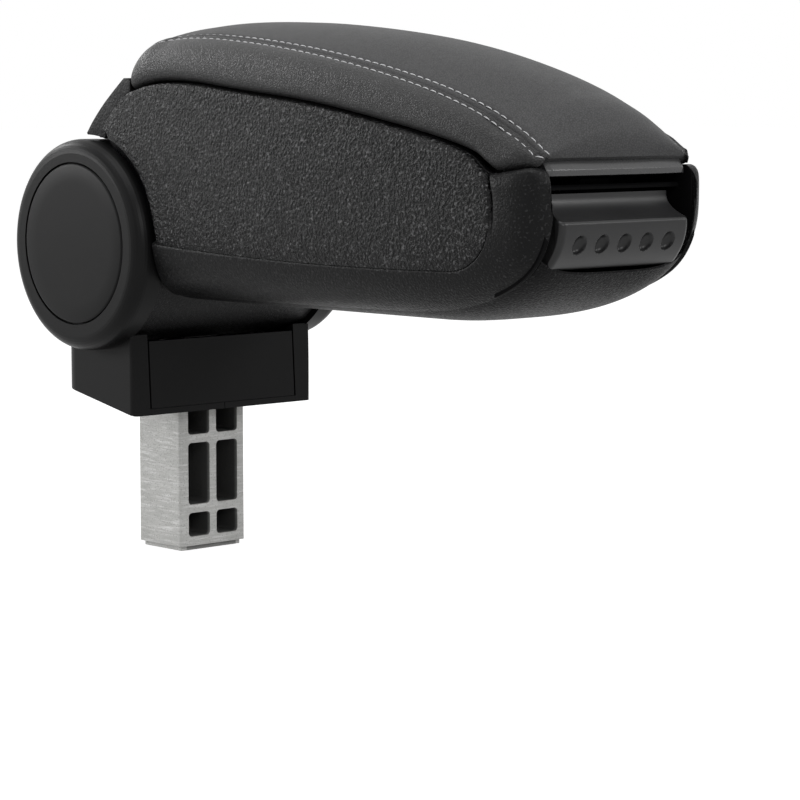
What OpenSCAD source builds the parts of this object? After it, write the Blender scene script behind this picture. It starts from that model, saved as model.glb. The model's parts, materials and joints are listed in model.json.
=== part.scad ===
// Folding car centre armrest: a padded, opening arm that swings between two round ears
// on a base block with a ribbed die-cast stem.
// The arm is drawn about its pivot axis: X across the car, Y to the rear, Z up.
// Side outlines are given as [s, z], where s is the distance forward of the pivot axis.

/* [Pivot] */
// Height of the base block below the barrel, at the stem
base_height = 25.1; // [22:0.1:30]
// Distance of the pivot axis behind the middle of the stem
pivot_setback = 2.2; // [0:0.2:5]
// Radius of the round ears
ear_radius = 45; // [44:0.5:47]
// Distance from the centre line to the inner face of an ear
ear_inner_x = 48.4; // [47.4:0.2:49]
// Distance from the centre line to the face of an ear's cap
ear_outer_x = 62; // [60:0.5:68]
// Radius of the flat cap in each ear
cap_radius = 34; // [30:0.5:36]
// Radius of the barrel that turns between the ears
barrel_radius = 43.7; // [42:0.1:43.8]
// Radius of the axle
axle_radius = 6; // [5:0.25:7]
// Wall of the ears and of the barrel
ear_wall = 3; // [2:0.25:3.5]

/* [Arm] */
// Length of the arm from the pivot axis to the tip of its nose
arm_length = 260.5; // [250:0.5:290]
// Half width of the arm at the ears
arm_half_width = 57; // [56:0.5:60]
// Narrowing of each side between the ears and the nose
side_taper = 7; // [5:0.5:8]
// Depth of the belly below the pivot axis
belly_depth = 24.7; // [24:0.1:28]
// Height of the arm's widest level above the pivot axis
widest_z = 28.4; // [26:0.2:31]
// Width of the side band between the arm's widest line and the belly
side_band = 18; // [17.5:0.5:20]
// Height of the lid line at the hinge end
lid_line_z = 68; // [66:0.5:72]
// Thickness of the side mouldings along the band
band_wall = 5; // [4.4:0.1:5.6]
// Thickness of the belly
belly_wall = 3; // [2.5:0.1:3.4]
// Step from the bands down to the belly
belly_step = 1.5; // [1:0.1:2]
// Thickness of the inset side panels
panel_wall = 2.6; // [2:0.1:3]

/* [Lid] */
// Distance of the lid hinge in front of the pivot axis
hinge_s = 31.5; // [31:0.25:32.5]
// Height of the lid hinge above the pivot axis
hinge_z = 72; // [71.5:0.25:72.5]
// Radius of the hinge knuckles
knuckle_radius = 2.6; // [2.4:0.1:2.8]
// Radius of the hinge pin and of the latch pin
pin_radius = 1.25; // [1:0.05:1.5]
// Distance of each stitched seam inside the arm's widest line
seam_inset = 17.5; // [15:0.5:21]
// Thickness of the lid's base plate
lid_plate = 3; // [2.4:0.2:3.4]
// Room at each end of the lip under the pad's front edge
lip_end_gap = 1.5; // [1.3:0.1:5]

/* [Latch] */
// Room at each end of the press paddle
paddle_end_gap = 3.8; // [3:0.2:9]
// Number of grip dimples in the paddle
dimple_count = 5; // [3:1:5]
// Distance from the paddle's end to the middle of its outer grip dimple
dimple_margin = 10.9; // [8:0.1:14]
// Radius of the rim of a grip dimple
dimple_radius = 3.4; // [2.5:0.1:4]

/* [Tray] */
// Distance of the tray's side walls inside the arm's widest line
tray_inset = 14; // [13.5:0.5:17]
// Wall of the storage tray
tray_wall = 2; // [1.6:0.1:2.6]

/* [Base block] */
// Half width of the base block
block_half_width = 50; // [49.5:0.25:53]
// Distance from the pivot axis to the foot of the block's front face
block_front = 25.5; // [25:0.5:28]
// Distance from the pivot axis to the block's rear face
block_rear = 24; // [23:0.5:27]
// Rise of the sloping underside for each millimetre to the rear
underside_slope = 0.2; // [0.16:0.01:0.22]
// Wall of the base block
block_wall = 2.6; // [2.2:0.1:2.8]
// Half width of the front and rear cover panels
cover_half_width = 40.1; // [39:0.1:40.5]

/* [Stem] */
// Width of the stem
stem_width = 36.4; // [32:0.2:40]
// Depth of the stem, front to rear
stem_depth = 29.5; // [26:0.5:32]
// Length of the stem below the block
stem_length = 67; // [60:0.5:90]
// Web between the two columns of pockets
stem_web = 3.7; // [3:0.1:5]
// Outer walls beside the pockets
stem_wall = 4.4; // [3.5:0.1:6]
// Back wall behind the pockets
stem_back = 4.5; // [3:0.5:8]
// Half width of the neck that carries the axle
neck_half = 9; // [8:0.5:10]

/* [Fits] */
// Radial clearance of a shaft in its bearing
run_fit = 0.05; // [0.02:0.01:0.09]
// Gap between neighbouring mouldings
gap = 0.4; // [0.3:0.05:0.5]
// Gap between the round ears and the arm
ear_gap = 1.4; // [1:0.1:2]

/* [Hidden] */
$fn = 72;

black = [0.09, 0.09, 0.095];
grained = [0.12, 0.12, 0.125];
leather_grey = [0.17, 0.17, 0.175];
cast_grey = [0.72, 0.72, 0.7];
steel = [0.55, 0.56, 0.58];

// Heights and widths that follow the driving sizes
pivot_height = barrel_radius + base_height;
belly_half_width = arm_half_width - side_band;
seam_x = arm_half_width - seam_inset;
lip_half_width = belly_half_width - lip_end_gap;
paddle_half_width = belly_half_width - paddle_end_gap;
dimple_pitch = 2 * (paddle_half_width - dimple_margin) / (dimple_count - 1);
tray_half_width = arm_half_width - tray_inset;

// Places along the arm that the shapes share
arm_arc = ear_radius + ear_gap;
panel_arc = arm_arc + 3.1;
drum_x = ear_inner_x - gap;
nose_run = 14;
nose_inset = 9.6;
taper_start = ear_radius + 15;
taper_end = arm_length - 25.5;
belly_rise_start = arm_length - 75.5;
belly_nose_z = 14.5;
tip_s = arm_length - 0.2;
panel_tip_s = arm_length - 20.7;
tray_front = arm_length - 29.5;
panel_round = 22;
panel_corner_z = 21;
section_power = 3.91;

// Lid line, as [share of the arm's length, drop below the lid line's start]
lid_line = [[0.115, 4.2], [0.131, 3.1], [0.157, 1.4], [0.194, 0.3], [0.235, 0.2], [0.291, 1.2], [0.369, 3.6],
    [0.541, 8.6], [0.703, 16.1], [0.818, 22.6], [0.875, 27.2], [0.914, 33.4], [0.944, 32.8], [0.975, 31.2],
    [1, 29]];
// Stitched seam, as [share of the arm's length, height above the lid line's start]
seam_line = [[0.107, 16.5], [0.219, 18.3], [0.342, 16.4], [0.461, 12.7], [0.574, 7.9],
    [0.683, 2.1], [0.789, -4.9], [0.871, -12.2], [0.929, -19.4], [0.971, -26.2], [0.99, -29.5]];
// Crown of the pad above its seams, as [share of the arm's length, height]
crown_line = [[0.119, 5.7], [0.23, 6.3], [0.384, 8.2], [0.537, 10.2], [0.691, 11.8],
    [0.806, 12.1], [0.902, 12.7], [0.96, 13.5], [0.99, 9.5]];
// Seam between the side panels and the rear cover, as [z, s]
cover_seam = [[47.5, 13.5], [55.2, 20], [61.1, 27.1], [64.9, 34.1]];
// Outline of the rear cover, as [z, s]
cover_line = [[46.4, -0.5], [51.7, 4.1], [58.6, 11.4], [65.4, 20], [70.5, 27.1], [73.6, 32.5]];

// Smooth curve through points [x, y]
function segment_of(p, x, i = 0) = (i >= len(p) - 2 || x < p[i + 1][0]) ? i : segment_of(p, x, i + 1);
function slope_at(p, i) =
    let (a = p[max(i - 1, 0)], b = p[min(i + 1, len(p) - 1)]) (b[1] - a[1]) / (b[0] - a[0]);
function curve(p, x) =
    let (
        i = segment_of(p, x),
        w = p[i + 1][0] - p[i][0],
        t = (x - p[i][0]) / w,
        a = slope_at(p, i) * w,
        b = slope_at(p, i + 1) * w
    )
    (2 * t * t * t - 3 * t * t + 1) * p[i][1] + (t * t * t - 2 * t * t + t) * a
        + (3 * t * t - 2 * t * t * t) * p[i + 1][1] + (t * t * t - t * t) * b;

function clamp(x) = max(0, min(1, x));
// Inset of a quarter round: 0 where it starts, 1 where it ends
function round_in(x, start, run) = let (u = clamp((x - start) / run)) 1 - sqrt(1 - u * u);

// Outer form of the arm
function half_width(s) =
    arm_half_width
    - side_taper * pow(max(0, (s - taper_start) / (taper_end - taper_start)), 1.9)
    - nose_inset * round_in(s, arm_length - nose_run, nose_run);
function belly_z(s) =
    let (u = clamp((s - belly_rise_start) / (arm_length - belly_rise_start)))
    belly_nose_z - (belly_nose_z + belly_depth) * pow(1 - pow(u, 2.26), 1 / 2.26);
function wing_top(s) = lid_z(s) - gap - 9 * round_in(s, arm_length - 8, 6);
function lid_z(s) = lid_line_z - curve(lid_line, s / arm_length);
function seam_z(s) = lid_line_z + curve(seam_line, s / arm_length);
function crown_z(s) = seam_z(s) + curve(crown_line, s / arm_length);

// Point of the section at s, where turn runs from 0 at the widest level to 90 under the belly
function lower_point(s, turn, depth) =
    let (
        w = half_width(min(s, arm_length - depth * 0.7)) - depth,
        h = widest_z - belly_z(min(s, arm_length - depth * 0.9)) - depth
    )
    [w * pow(cos(turn), 2 / section_power), -s, widest_z - h * pow(sin(turn), 2 / section_power)];
function turn_at_x(s, x, depth) =
    let (w = half_width(min(s, arm_length - depth * 0.7)) - depth)
    acos(pow(min(0.999, x / w), section_power / 2));
function turn_at_z(s, z) =
    asin(pow(clamp((widest_z - z) / (widest_z - belly_z(s))), section_power / 2));
// Point of the upper side, which leans in by 2 mm up to the lid line
function upper_point(s, z, depth) =
    let (u = (z - widest_z) / (lid_z(s) - widest_z))
    [half_width(min(s, arm_length - depth * 0.7)) - depth - 2 * u * u, -s, z];
function side_point(s, z, depth) =
    z < widest_z ? lower_point(s, turn_at_z(s, z), depth) : upper_point(s, z, depth);

// Groove between the band and the side panel
function groove_z(s) =
    -4 + 4.7 * pow((0.672 * arm_length - s) / (arm_length / 2), 2)
    + panel_round * round_in(s, panel_tip_s - panel_round, panel_round);
// Rear edge of the side at height z: an arc of radius r about the pivot, then the seam of the rear cover
seam_low_z = cover_seam[0][0];
seam_low_s = cover_seam[0][1];
seam_high_z = cover_seam[len(cover_seam) - 1][0];
function rear_s(z, r) =
    z < seam_low_z ? sqrt(max(seam_low_s * seam_low_s, r * r - z * z))
        : curve(cover_seam, min(z, seam_high_z));
// A station's own s, bent at the rear to follow the ear
function bent_s(s, z, r, end_s) =
    let (t = clamp((s - r) / (end_s - r)))
    s + (rear_s(z, r) - r) * pow(1 - t, 6);
// Top of the side at station s, where the bent station meets the lid line
function top_at(s, r) =
    let (z = lid_z(bent_s(s, seam_high_z, r, panel_tip_s)) - gap)
    wing_top(bent_s(s, z, r, panel_tip_s));
// Heights from low to high, close together where the rear edge bends, with one at its corner
corner_share = 0.738;
function heights(low, high) =
    [for (i = [0 : 8]) low + (high - low)
        * (i < 5 ? corner_share * sin(14.6 * i) / sin(73) : corner_share + (1 - corner_share) * (i - 5) / 3)];

// Closed sheet between two grids of points with the same rows and columns
module sheet(outer, inner, turn = false) {
    n = len(outer);
    m = len(outer[0]);
    far = n * m;
    skin = [for (i = [0 : n - 2], j = [0 : m - 2])
        let (a = i * m + j, c = a + m) each [[a, a + 1, c + 1], [a, c + 1, c]]];
    back = [for (f = skin) [f[2] + far, f[1] + far, f[0] + far]];
    rim = concat(
        [for (j = [0 : m - 2]) [j + 1, j, j + far, j + 1 + far]],
        [for (j = [0 : m - 2]) let (c = (n - 1) * m + j) [c, c + 1, c + 1 + far, c + far]],
        [for (i = [0 : n - 2]) let (a = i * m) [a, a + m, a + m + far, a + far]],
        [for (i = [0 : n - 2]) let (b = i * m + m - 1) [b + m, b, b + far, b + m + far]]);
    edge = [for (q = rim) each [[q[0], q[1], q[2]], [q[0], q[2], q[3]]]];
    faces = concat(skin, back, edge);
    polyhedron(
        points = concat([for (r = outer) each r], [for (r = inner) each r]),
        faces = turn ? faces : [for (f = faces) [f[2], f[1], f[0]]]);
}

// Extrudes a side outline, drawn as [s, z], from x0 to x1
module across(x0, x1) {
    translate([x0, 0, 0]) mirror([0, 1, 0]) rotate([90, 0, 90]) linear_extrude(height = x1 - x0) children();
}
// Extrudes a plan outline, drawn as [x, s], from z0 to z1
module upward(z0, z1) {
    translate([0, 0, z0]) mirror([0, 1, 0]) linear_extrude(height = z1 - z0) children();
}
// Cylinder along X, at [s, z]
module rod(r, x0, x1, s = 0, z = 0) {
    translate([x0, -s, z]) rotate([0, 90, 0]) cylinder(r = r, h = x1 - x0);
}
// Block from [x0, s0, z0] to [x1, s1, z1]
module bar(x0, x1, s0, s1, z0, z1) {
    translate([x0, -s1, z0]) cube([x1 - x0, s1 - s0, z1 - z0]);
}
module both_sides() {
    children();
    mirror([1, 0, 0]) children();
}
module at_pivot() {
    translate([0, pivot_setback, pivot_height]) children();
}
function reversed(list) = [for (i = [len(list) - 1 : -1 : 0]) list[i]];
// Points of an arc
function arc(cx, cy, r, a0, a1, n) =
    [for (i = [0 : n]) let (a = a0 + (a1 - a0) * i / n) [cx + r * cos(a), cy + r * sin(a)]];

// Stem casting: stem, foot plate, neck and hub
plate_top = -(barrel_radius + 8);
plate_thick = 8;
plate_half_x = cover_half_width - 1;
plate_half_s = 15;
hub_radius = 14;
hub_x = 18.8;
neck_gap = 1.5;
pocket_width = (stem_width - stem_web - 2 * stem_wall) / 2;
stem_middle = pivot_setback;
// Room in front of and behind the stem in the sloping underside
stem_slack = 1.5;
stem_bottom = -pivot_height - stem_length;
pocket_rib = 3.6;
pocket_rows = [[stem_bottom + 6, 10.5], [stem_bottom + 6 + 10.5 + pocket_rib, 27.2],
    [stem_bottom + 6 + 10.5 + 27.2 + 2 * pocket_rib, 18]];

module rounded_rect(w, h, r) {
    square([w - 2 * r, h], center = true);
    square([w, h - 2 * r], center = true);
    for (x = [-1, 1], y = [-1, 1]) translate([x * (w / 2 - r), y * (h / 2 - r)]) circle(r);
}

module stem_casting() color(cast_grey) at_pivot() difference() {
    union() {
        upward(stem_bottom + 2, plate_top - 1) translate([0, stem_middle])
            rounded_rect(stem_width, stem_depth, 1.6);
        upward(stem_bottom, stem_bottom + 2.01) translate([0, stem_middle])
            rounded_rect(stem_width - 3, stem_depth - 3, 1.2);
        bar(-plate_half_x, plate_half_x, -plate_half_s, plate_half_s, plate_top - plate_thick, plate_top);
        bar(-neck_half, neck_half, -neck_half, neck_half, plate_top - 1, 0);
        across(-neck_half, neck_half)
            polygon([[-plate_half_s, plate_top - 1], [plate_half_s, plate_top - 1],
                [neck_half - 0.5, -barrel_radius - 1.5], [-neck_half + 0.5, -barrel_radius - 1.5]]);
        rod(hub_radius, -hub_x, hub_x);
    }
    for (side = [-1, 1], row = pocket_rows)
        translate([side * (stem_web + pocket_width) / 2, -stem_middle - stem_depth / 2, row[0] + row[1] / 2])
            rotate([-90, 0, 0]) translate([0, 0, -1])
                linear_extrude(height = stem_depth - stem_back + 1) rounded_rect(pocket_width, row[1], 1.8);
    rod(axle_radius + run_fit, -ear_outer_x, ear_outer_x);
    for (x = [-1, 1], s = screw_rows)
        translate([x * screw_x, -s, plate_top - plate_thick - 1]) cylinder(r = screw_radius + run_fit, h = 8);
}

// Curved shield behind the slot that the neck passes through
shield_radius = barrel_radius - ear_wall - 0.6;
module slot_shield() color(black) at_pivot() intersection() {
    ring(shield_radius, shield_radius - 1.6, -neck_half - neck_gap - 2, neck_half + neck_gap + 2);
    across(-30, 30)
        polygon([[-neck_half - 0.4, -60], [-neck_half - 0.4, -30], [0, 0], [-13, 22], [-60, 22], [-60, -60]]);
}

// Base block
post_x = cover_half_width + 2 * gap;
block_top = -39;
block_foot = -pivot_height - underside_slope * (block_front - pivot_setback);
function underside_z(s) = block_foot + underside_slope * (block_front - s);
screw_x = 30;
screw_rows = [10, -4];
screw_radius = 2;
screw_seat = plate_top - plate_thick - 2;

module block_form(inset) {
    w = block_half_width - inset;
    front = block_front - inset;
    rear = block_rear - inset;
    round_front = max(0.5, 2.6 - inset);
    round_rear = 8.5 - inset;
    intersection() {
        across(-w, w)
            polygon([[front, underside_z(front)], [front - 1.9, block_top], [-rear, block_top],
                [-rear, underside_z(-rear)]]);
        upward(-pivot_height - stem_length, 0) {
            translate([-w, -rear + round_rear]) square([2 * w, front + rear - round_front - round_rear]);
            translate([-w + round_rear, -rear]) square([2 * (w - round_rear), round_rear + 1]);
            translate([-w + round_front, front - round_front - 1])
                square([2 * (w - round_front), round_front + 1]);
            for (x = [-1, 1]) {
                translate([x * (w - round_front), front - round_front]) circle(round_front);
                translate([x * (w - round_rear), -rear + round_rear]) circle(round_rear);
            }
        }
    }
}
module above_floor(extra = 0) {
    across(-ear_outer_x, ear_outer_x)
        polygon([[60, underside_z(60) + block_wall + extra], [60, 20], [-60, 20],
            [-60, underside_z(-60) + block_wall + extra]]);
}
module block_walls() {
    difference() {
        intersection() {
            block_form(0);
            above_floor();
        }
        block_form(block_wall);
        rod(barrel_radius + 1.4, -ear_inner_x, ear_inner_x);
    }
}
module block_floor() {
    difference() {
        block_form(0);
        above_floor();
        upward(-pivot_height - stem_length, 0) translate([0, stem_middle])
            square([stem_width + 2 * gap, stem_depth + 2 * stem_slack], center = true);
    }
}

// Ears: profile as [radius, x]. The ear's rim and its cap hang a little below the axle.
ear_drop = 1.2;
cap_drop = 0.5;
dome_radial = 6;
dome_axial = 6.5;
ear_skin = 4.6;
cap_depth = 2.5;
cap_margin = 0.6;
cap_ledge = 2.5;
hub_wall_x = ear_inner_x + 2;
ear_boss_radius = 13;
ear_boss_x = ear_inner_x + 3;
module ear() difference() {
    translate([0, 0, -ear_drop]) rotate([0, 90, 0]) rotate_extrude($fn = 96)
        polygon(concat(
            [[0, ear_inner_x], [ear_radius, ear_inner_x]],
            [for (a = [0 : 11.25 : 90])
                [ear_radius - dome_radial * (1 - cos(a)), ear_outer_x - 0.1 - dome_axial * (1 - sin(a))]],
            [[20, ear_outer_x - 0.1], [20, ear_outer_x - ear_skin],
                [ear_radius - dome_radial, ear_outer_x - ear_skin],
                [ear_radius - ear_wall, ear_outer_x - dome_axial - 1], [ear_radius - ear_wall, hub_wall_x],
                [ear_boss_radius, hub_wall_x], [ear_boss_radius, ear_boss_x], [0, ear_boss_x]]));
    rod(cap_radius + cap_margin, ear_outer_x - cap_depth - 0.1, ear_outer_x + 1, 0, -cap_drop);
    rod(cap_radius - cap_ledge, ear_outer_x - ear_skin - 1, ear_outer_x + 1, 0, -cap_drop);
    rod(axle_radius + run_fit, 0, ear_outer_x);
}

module right_half_cheek() difference() {
    union() {
        ear();
        intersection() {
            block_walls();
            bar(post_x, ear_outer_x, -60, 60, -100, 0);
        }
        // inner wall of the post, under the barrel
        difference() {
            intersection() {
                block_form(0.6);
                bar(post_x, post_x + 2, -60, 60, plate_top + 0.3, block_top);
            }
            rod(barrel_radius + 1.4, 0, ear_inner_x);
        }
        intersection() {
            block_floor();
            bar(0.15, ear_outer_x, -60, 60, -100, 0);
        }
        for (s = screw_rows) translate([screw_x, -s, underside_z(s) + 0.8])
            cylinder(r = 5.5, h = screw_seat + 0.9 - underside_z(s));
    }
    for (s = screw_rows) {
        translate([screw_x, -s, -90]) cylinder(r = screw_radius + 0.1, h = 40);
        translate([screw_x, -s, -90]) cylinder(r = 4, h = 90 + screw_seat);
    }
}
module right_cheek() color(black) at_pivot() right_half_cheek();
module left_cheek() color(black) at_pivot() mirror([1, 0, 0]) right_half_cheek();

module cover_panel(front) intersection() {
    block_walls();
    above_floor(0.2);
    bar(-cover_half_width, cover_half_width, front ? 0 : -60, front ? 60 : 0, -100, front ? -42 : -38);
}
module front_cover() color(black) at_pivot() cover_panel(true);
module rear_base_cover() color(black) at_pivot() cover_panel(false);

module cap() translate([0, 0, -cap_drop]) rotate([0, 90, 0]) {
    face_x = ear_outer_x - cap_depth;
    skirt = cap_radius - cap_ledge - 0.2;
    rotate_extrude($fn = 96)
        polygon([[0, face_x], [cap_radius, face_x], [cap_radius, ear_outer_x - 0.5],
            [cap_radius - 0.8, ear_outer_x], [0, ear_outer_x]]);
    rotate_extrude($fn = 96)
        translate([skirt - 1.7, face_x - 3.5]) square([1.7, 3.6]);
}
module right_cap() color(black) at_pivot() cap();
module left_cap() color(black) at_pivot() mirror([1, 0, 0]) cap();

// Friction pivot
washer_thick = 0.8;
nut_x = ear_boss_x + 3 * washer_thick + 0.2;
nut_thick = 4;
module axle() color(steel) at_pivot() {
    rod(axle_radius, -ear_boss_x - 1, nut_x + nut_thick + 1);
    rod(10, -ear_boss_x - 4, -ear_boss_x - 0.1);
}
module ring(outer, inner, x0, x1) difference() {
    rod(outer, x0, x1);
    rod(inner, x0 - 1, x1 + 1);
}
module axle_nut() color(steel) at_pivot() difference() {
    translate([nut_x, 0, 0]) rotate([0, 90, 0]) cylinder(r = 10, h = nut_thick, $fn = 6);
    rod(axle_radius + run_fit, 0, ear_outer_x);
}
module spring_washers() color(steel) at_pivot() for (i = [0 : 2])
    translate([ear_boss_x + i * washer_thick, 0, 0]) ring(12 - i, axle_radius + run_fit, 0.1, washer_thick);
module friction_washers() color("dimgray") at_pivot() both_sides()
    ring(13, axle_radius + run_fit, hub_x + 0.05, carrier_half - 3 - 0.3);
module base_screws() color(steel) at_pivot()
    for (x = [-1, 1], s = screw_rows) translate([x * screw_x, -s, 0]) {
        translate([0, 0, screw_seat - 2.2]) cylinder(r = 3.7, h = 2.2);
        translate([0, 0, screw_seat - 1]) cylinder(r = screw_radius, h = 8);
    }

// Arm: lower shell and the drum that turns between the ears
carrier_half = 24;
carrier_end = 140;
carrier_floor = belly_step + belly_wall - belly_depth + 0.2;
belly_end_s = arm_length - 10;
belly_start_s = barrel_radius - 7;
belly_stations = [for (t = [0 : 1 / 15 : 1.001])
    belly_start_s + (belly_end_s - belly_start_s) * (1 - pow(1 - t, 1.6))];
belly_edge = belly_half_width - gap;
function belly_row(s, depth) =
    let (a = turn_at_x(s, belly_edge, depth + belly_step))
    concat(
        [for (t = [0 : 0.2 : 0.99])
            let (p = lower_point(s, a + (90 - a) * t, depth + step_at(t))) [-p[0], p[1], p[2]]],
        [for (t = [1 : -0.2 : -0.01]) lower_point(s, a + (90 - a) * t, depth + step_at(t))]);
// The belly lies back by the step beside its bands and comes out to the full form in the middle
function step_at(t) = belly_step * pow(1 - t, 1.5);

module belly_shell() color(grained) at_pivot() difference() {
    sheet([for (s = belly_stations) belly_row(s, 0)], [for (s = belly_stations) belly_row(s, belly_wall)]);
    rod(barrel_radius + 0.3, -arm_half_width, arm_half_width);
}

module pivot_drum() color(grained) at_pivot() difference() {
    union() {
        difference() {
            rod(barrel_radius, -drum_x, drum_x);
            rod(barrel_radius - ear_wall, -drum_x + 3, drum_x - 3);
        }
        both_sides() rod(13, drum_x - 8, drum_x - 1);
    }
    both_sides() rod(9 + run_fit, drum_x - 9, drum_x + 1);
    // windows for the carrier's side plates
    both_sides() bar(carrier_half - 3.4, carrier_half + 0.4, 20, barrel_radius + 1, carrier_floor - 0.4, 13);
    bar(-carrier_half, carrier_half, 34, barrel_radius + 1, carrier_floor - 0.4, carrier_floor + 2.4);
    // slot for the neck, open over the whole swing
    bar(-neck_half - neck_gap, neck_half + neck_gap, -60, neck_half + neck_gap, -60, neck_half + neck_gap);
}

module barrel_bushes() color("ivory") at_pivot() both_sides()
    ring(9, axle_radius + run_fit, drum_x - 8, drum_x);

module hub_carrier() color(steel) at_pivot() difference() {
    union() {
        both_sides() {
            rod(15, carrier_half - 3, carrier_half);
            across(carrier_half - 3, carrier_half)
                polygon([[0, -15], [0, 12], [30, 10], [44, -8], [47, tray_floor - 0.6],
                    [carrier_end, tray_floor - 0.6], [carrier_end, carrier_floor], [20, carrier_floor]]);
        }
        bar(-carrier_half, carrier_half, 40, carrier_end, carrier_floor, carrier_floor + 2);
    }
    rod(axle_radius + run_fit, -carrier_half - 1, carrier_half + 1);
}

// Side mouldings. Every piece along the lid line uses the same stations, so that their edges match.
long_stations = concat([for (t = [0 : 1 / 14 : 0.999]) panel_arc + (panel_tip_s - 9 - panel_arc) * t],
    [for (d = [9, 5.5, 3, 1.2, 0.3, 0]) panel_tip_s - d]);
nose_stations = [for (t = [0, 0.2, 0.42, 0.62, 0.78, 0.9, 0.97, 1])
    panel_tip_s + 0.8 + (tip_s - panel_tip_s - 0.8) * t];
recess = panel_wall + gap;

// One station: seam, lower corner, groove, then the wall behind the panel
function shell_row(s, depth, panel_depth) =
    let (
        top = top_at(s, arm_arc),
        edge = s > panel_tip_s + 0.6 ? panel_corner_z : groove_z(s) - gap,
        a = turn_at_x(s, belly_half_width, depth),
        b = turn_at_z(s, edge)
    )
    concat(
        [for (t = [0 : 0.2 : 1.001])
            let (p = lower_point(s, a + (b - a) * t, depth)) bend(p, s, arm_arc)],
        [for (z = heights(edge + 0.02, top)) bend(side_point(s, z, depth + panel_depth), s, arm_arc)]);
function bend(p, s, r) = [p[0], -bent_s(s, p[2], r, panel_tip_s), p[2]];

shell_stations = concat([arm_arc], long_stations, [panel_tip_s + 0.4]);
wall_stations = [for (s = concat(long_stations, nose_stations)) if (s > tray_front + 1 && s < tip_s - 1) s];
function seam_foot(s) = lower_point(s, turn_at_x(s, belly_half_width, 0), 0)[2];
module right_shell() {
    // inner wall of the wing, beside the finger recess
    across(belly_half_width, belly_half_width + 2.2)
        polygon(concat(
            [for (s = wall_stations) [s, wing_top(s) - 0.1]],
            [for (s = reversed(wall_stations)) [s, seam_foot(s) + 1.5]]));
    sheet(
        concat([for (s = shell_stations) shell_row(s, 0, recess)],
            [for (s = nose_stations) shell_row(s, 0, 0)]),
        [for (s = concat(shell_stations, nose_stations)) shell_row(s, band_wall, 0)]);
}
module right_side_shell() color(grained) at_pivot() right_shell();
module left_side_shell() color(grained) at_pivot() mirror([1, 0, 0]) right_shell();

// Side panels
function panel_row(s, depth) =
    [for (z = heights(groove_z(s), top_at(s, panel_arc)))
        let (
            share = clamp((s - panel_arc) / (panel_tip_s - panel_arc)),
            back = 0.0195 * pow(max(0, z - panel_corner_z - 1), 2) * pow(share, 24),
            p = side_point(s - back, z, depth)
        )
        [p[0], -bent_s(s, z, panel_arc, panel_tip_s) + back, p[2]]];
module right_panel()
    sheet([for (s = long_stations) panel_row(s, 0)], [for (s = long_stations) panel_row(s, panel_wall)]);
module right_side_panel() color(grained) at_pivot() right_panel();
module left_side_panel() color(grained) at_pivot() mirror([1, 0, 0]) right_panel();

// Rear cover between the pad and the barrel
cover_x = arm_half_width - 1.6;
cover_back = [for (z = [73.6 : -3.4 : 46.3]) [curve(cover_line, z), z]];
knuckle_gap = 0.3;
hinge_half = 38;
hinge_cut = hinge_half + 2;
knuckle_split = 24;
knuckle_middle = 7;
fixed_knuckles = [[-hinge_half, -knuckle_split], [-knuckle_middle, knuckle_middle],
    [knuckle_split, hinge_half]];
lid_knuckles = [[-knuckle_split + knuckle_gap, -knuckle_middle - knuckle_gap],
    [knuckle_middle + knuckle_gap, knuckle_split - knuckle_gap]];

module rear_cover() color(grained) at_pivot() difference() {
    union() {
        difference() {
            across(-cover_x, cover_x)
                polygon(concat(cover_back, [[0, 40], [12, 40]],
                    [for (t = [0 : 0.2 : 1.001]) let (z = seam_low_z + (seam_high_z - seam_low_z) * t)
                        [curve(cover_seam, z) - gap, z]], [[hinge_s + 1.8, 67.5]]));
            bar(-hinge_cut, hinge_cut, hinge_s - knuckle_radius - gap, 60, 60, 80);
            both_sides() rod(arm_arc, ear_inner_x - gap, ear_outer_x);
            rod(barrel_radius + 0.2, -ear_outer_x, ear_outer_x);
            rod(knuckle_radius + gap, -hinge_cut, hinge_cut, hinge_s, hinge_z);
        }
        for (k = fixed_knuckles) {
            rod(knuckle_radius, k[0], k[1], hinge_s, hinge_z);
            across(k[0], k[1])
                polygon([[hinge_s, hinge_z - knuckle_radius], [hinge_s - knuckle_radius, hinge_z],
                    [hinge_s - 6, hinge_z - 3.6], [hinge_s - 3, hinge_z - 6.5]]);
        }
    }
    rod(pin_radius + run_fit, -hinge_cut, hinge_cut, hinge_s, hinge_z);
}
module lid_hinge_pin() color(steel) at_pivot() rod(pin_radius, -hinge_half, hinge_half, hinge_s, hinge_z);

// Storage tray
tray_rear = barrel_radius + 7.5;
tray_floor = 10.7 - belly_depth;
tray_chamfer = 12;
latch_s = arm_length - 17.5;
latch_z = -1.5;
lug_inset = 6.2;
lug_x = paddle_half_width - lug_inset;
lug_thick = 3.2;
lug_radius = 2.8;
latch_cut = lug_x + 11;
tray_steps = [for (t = [0 : 0.1 : 1.001]) tray_rear + (tray_front - tray_rear) * t];

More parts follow.
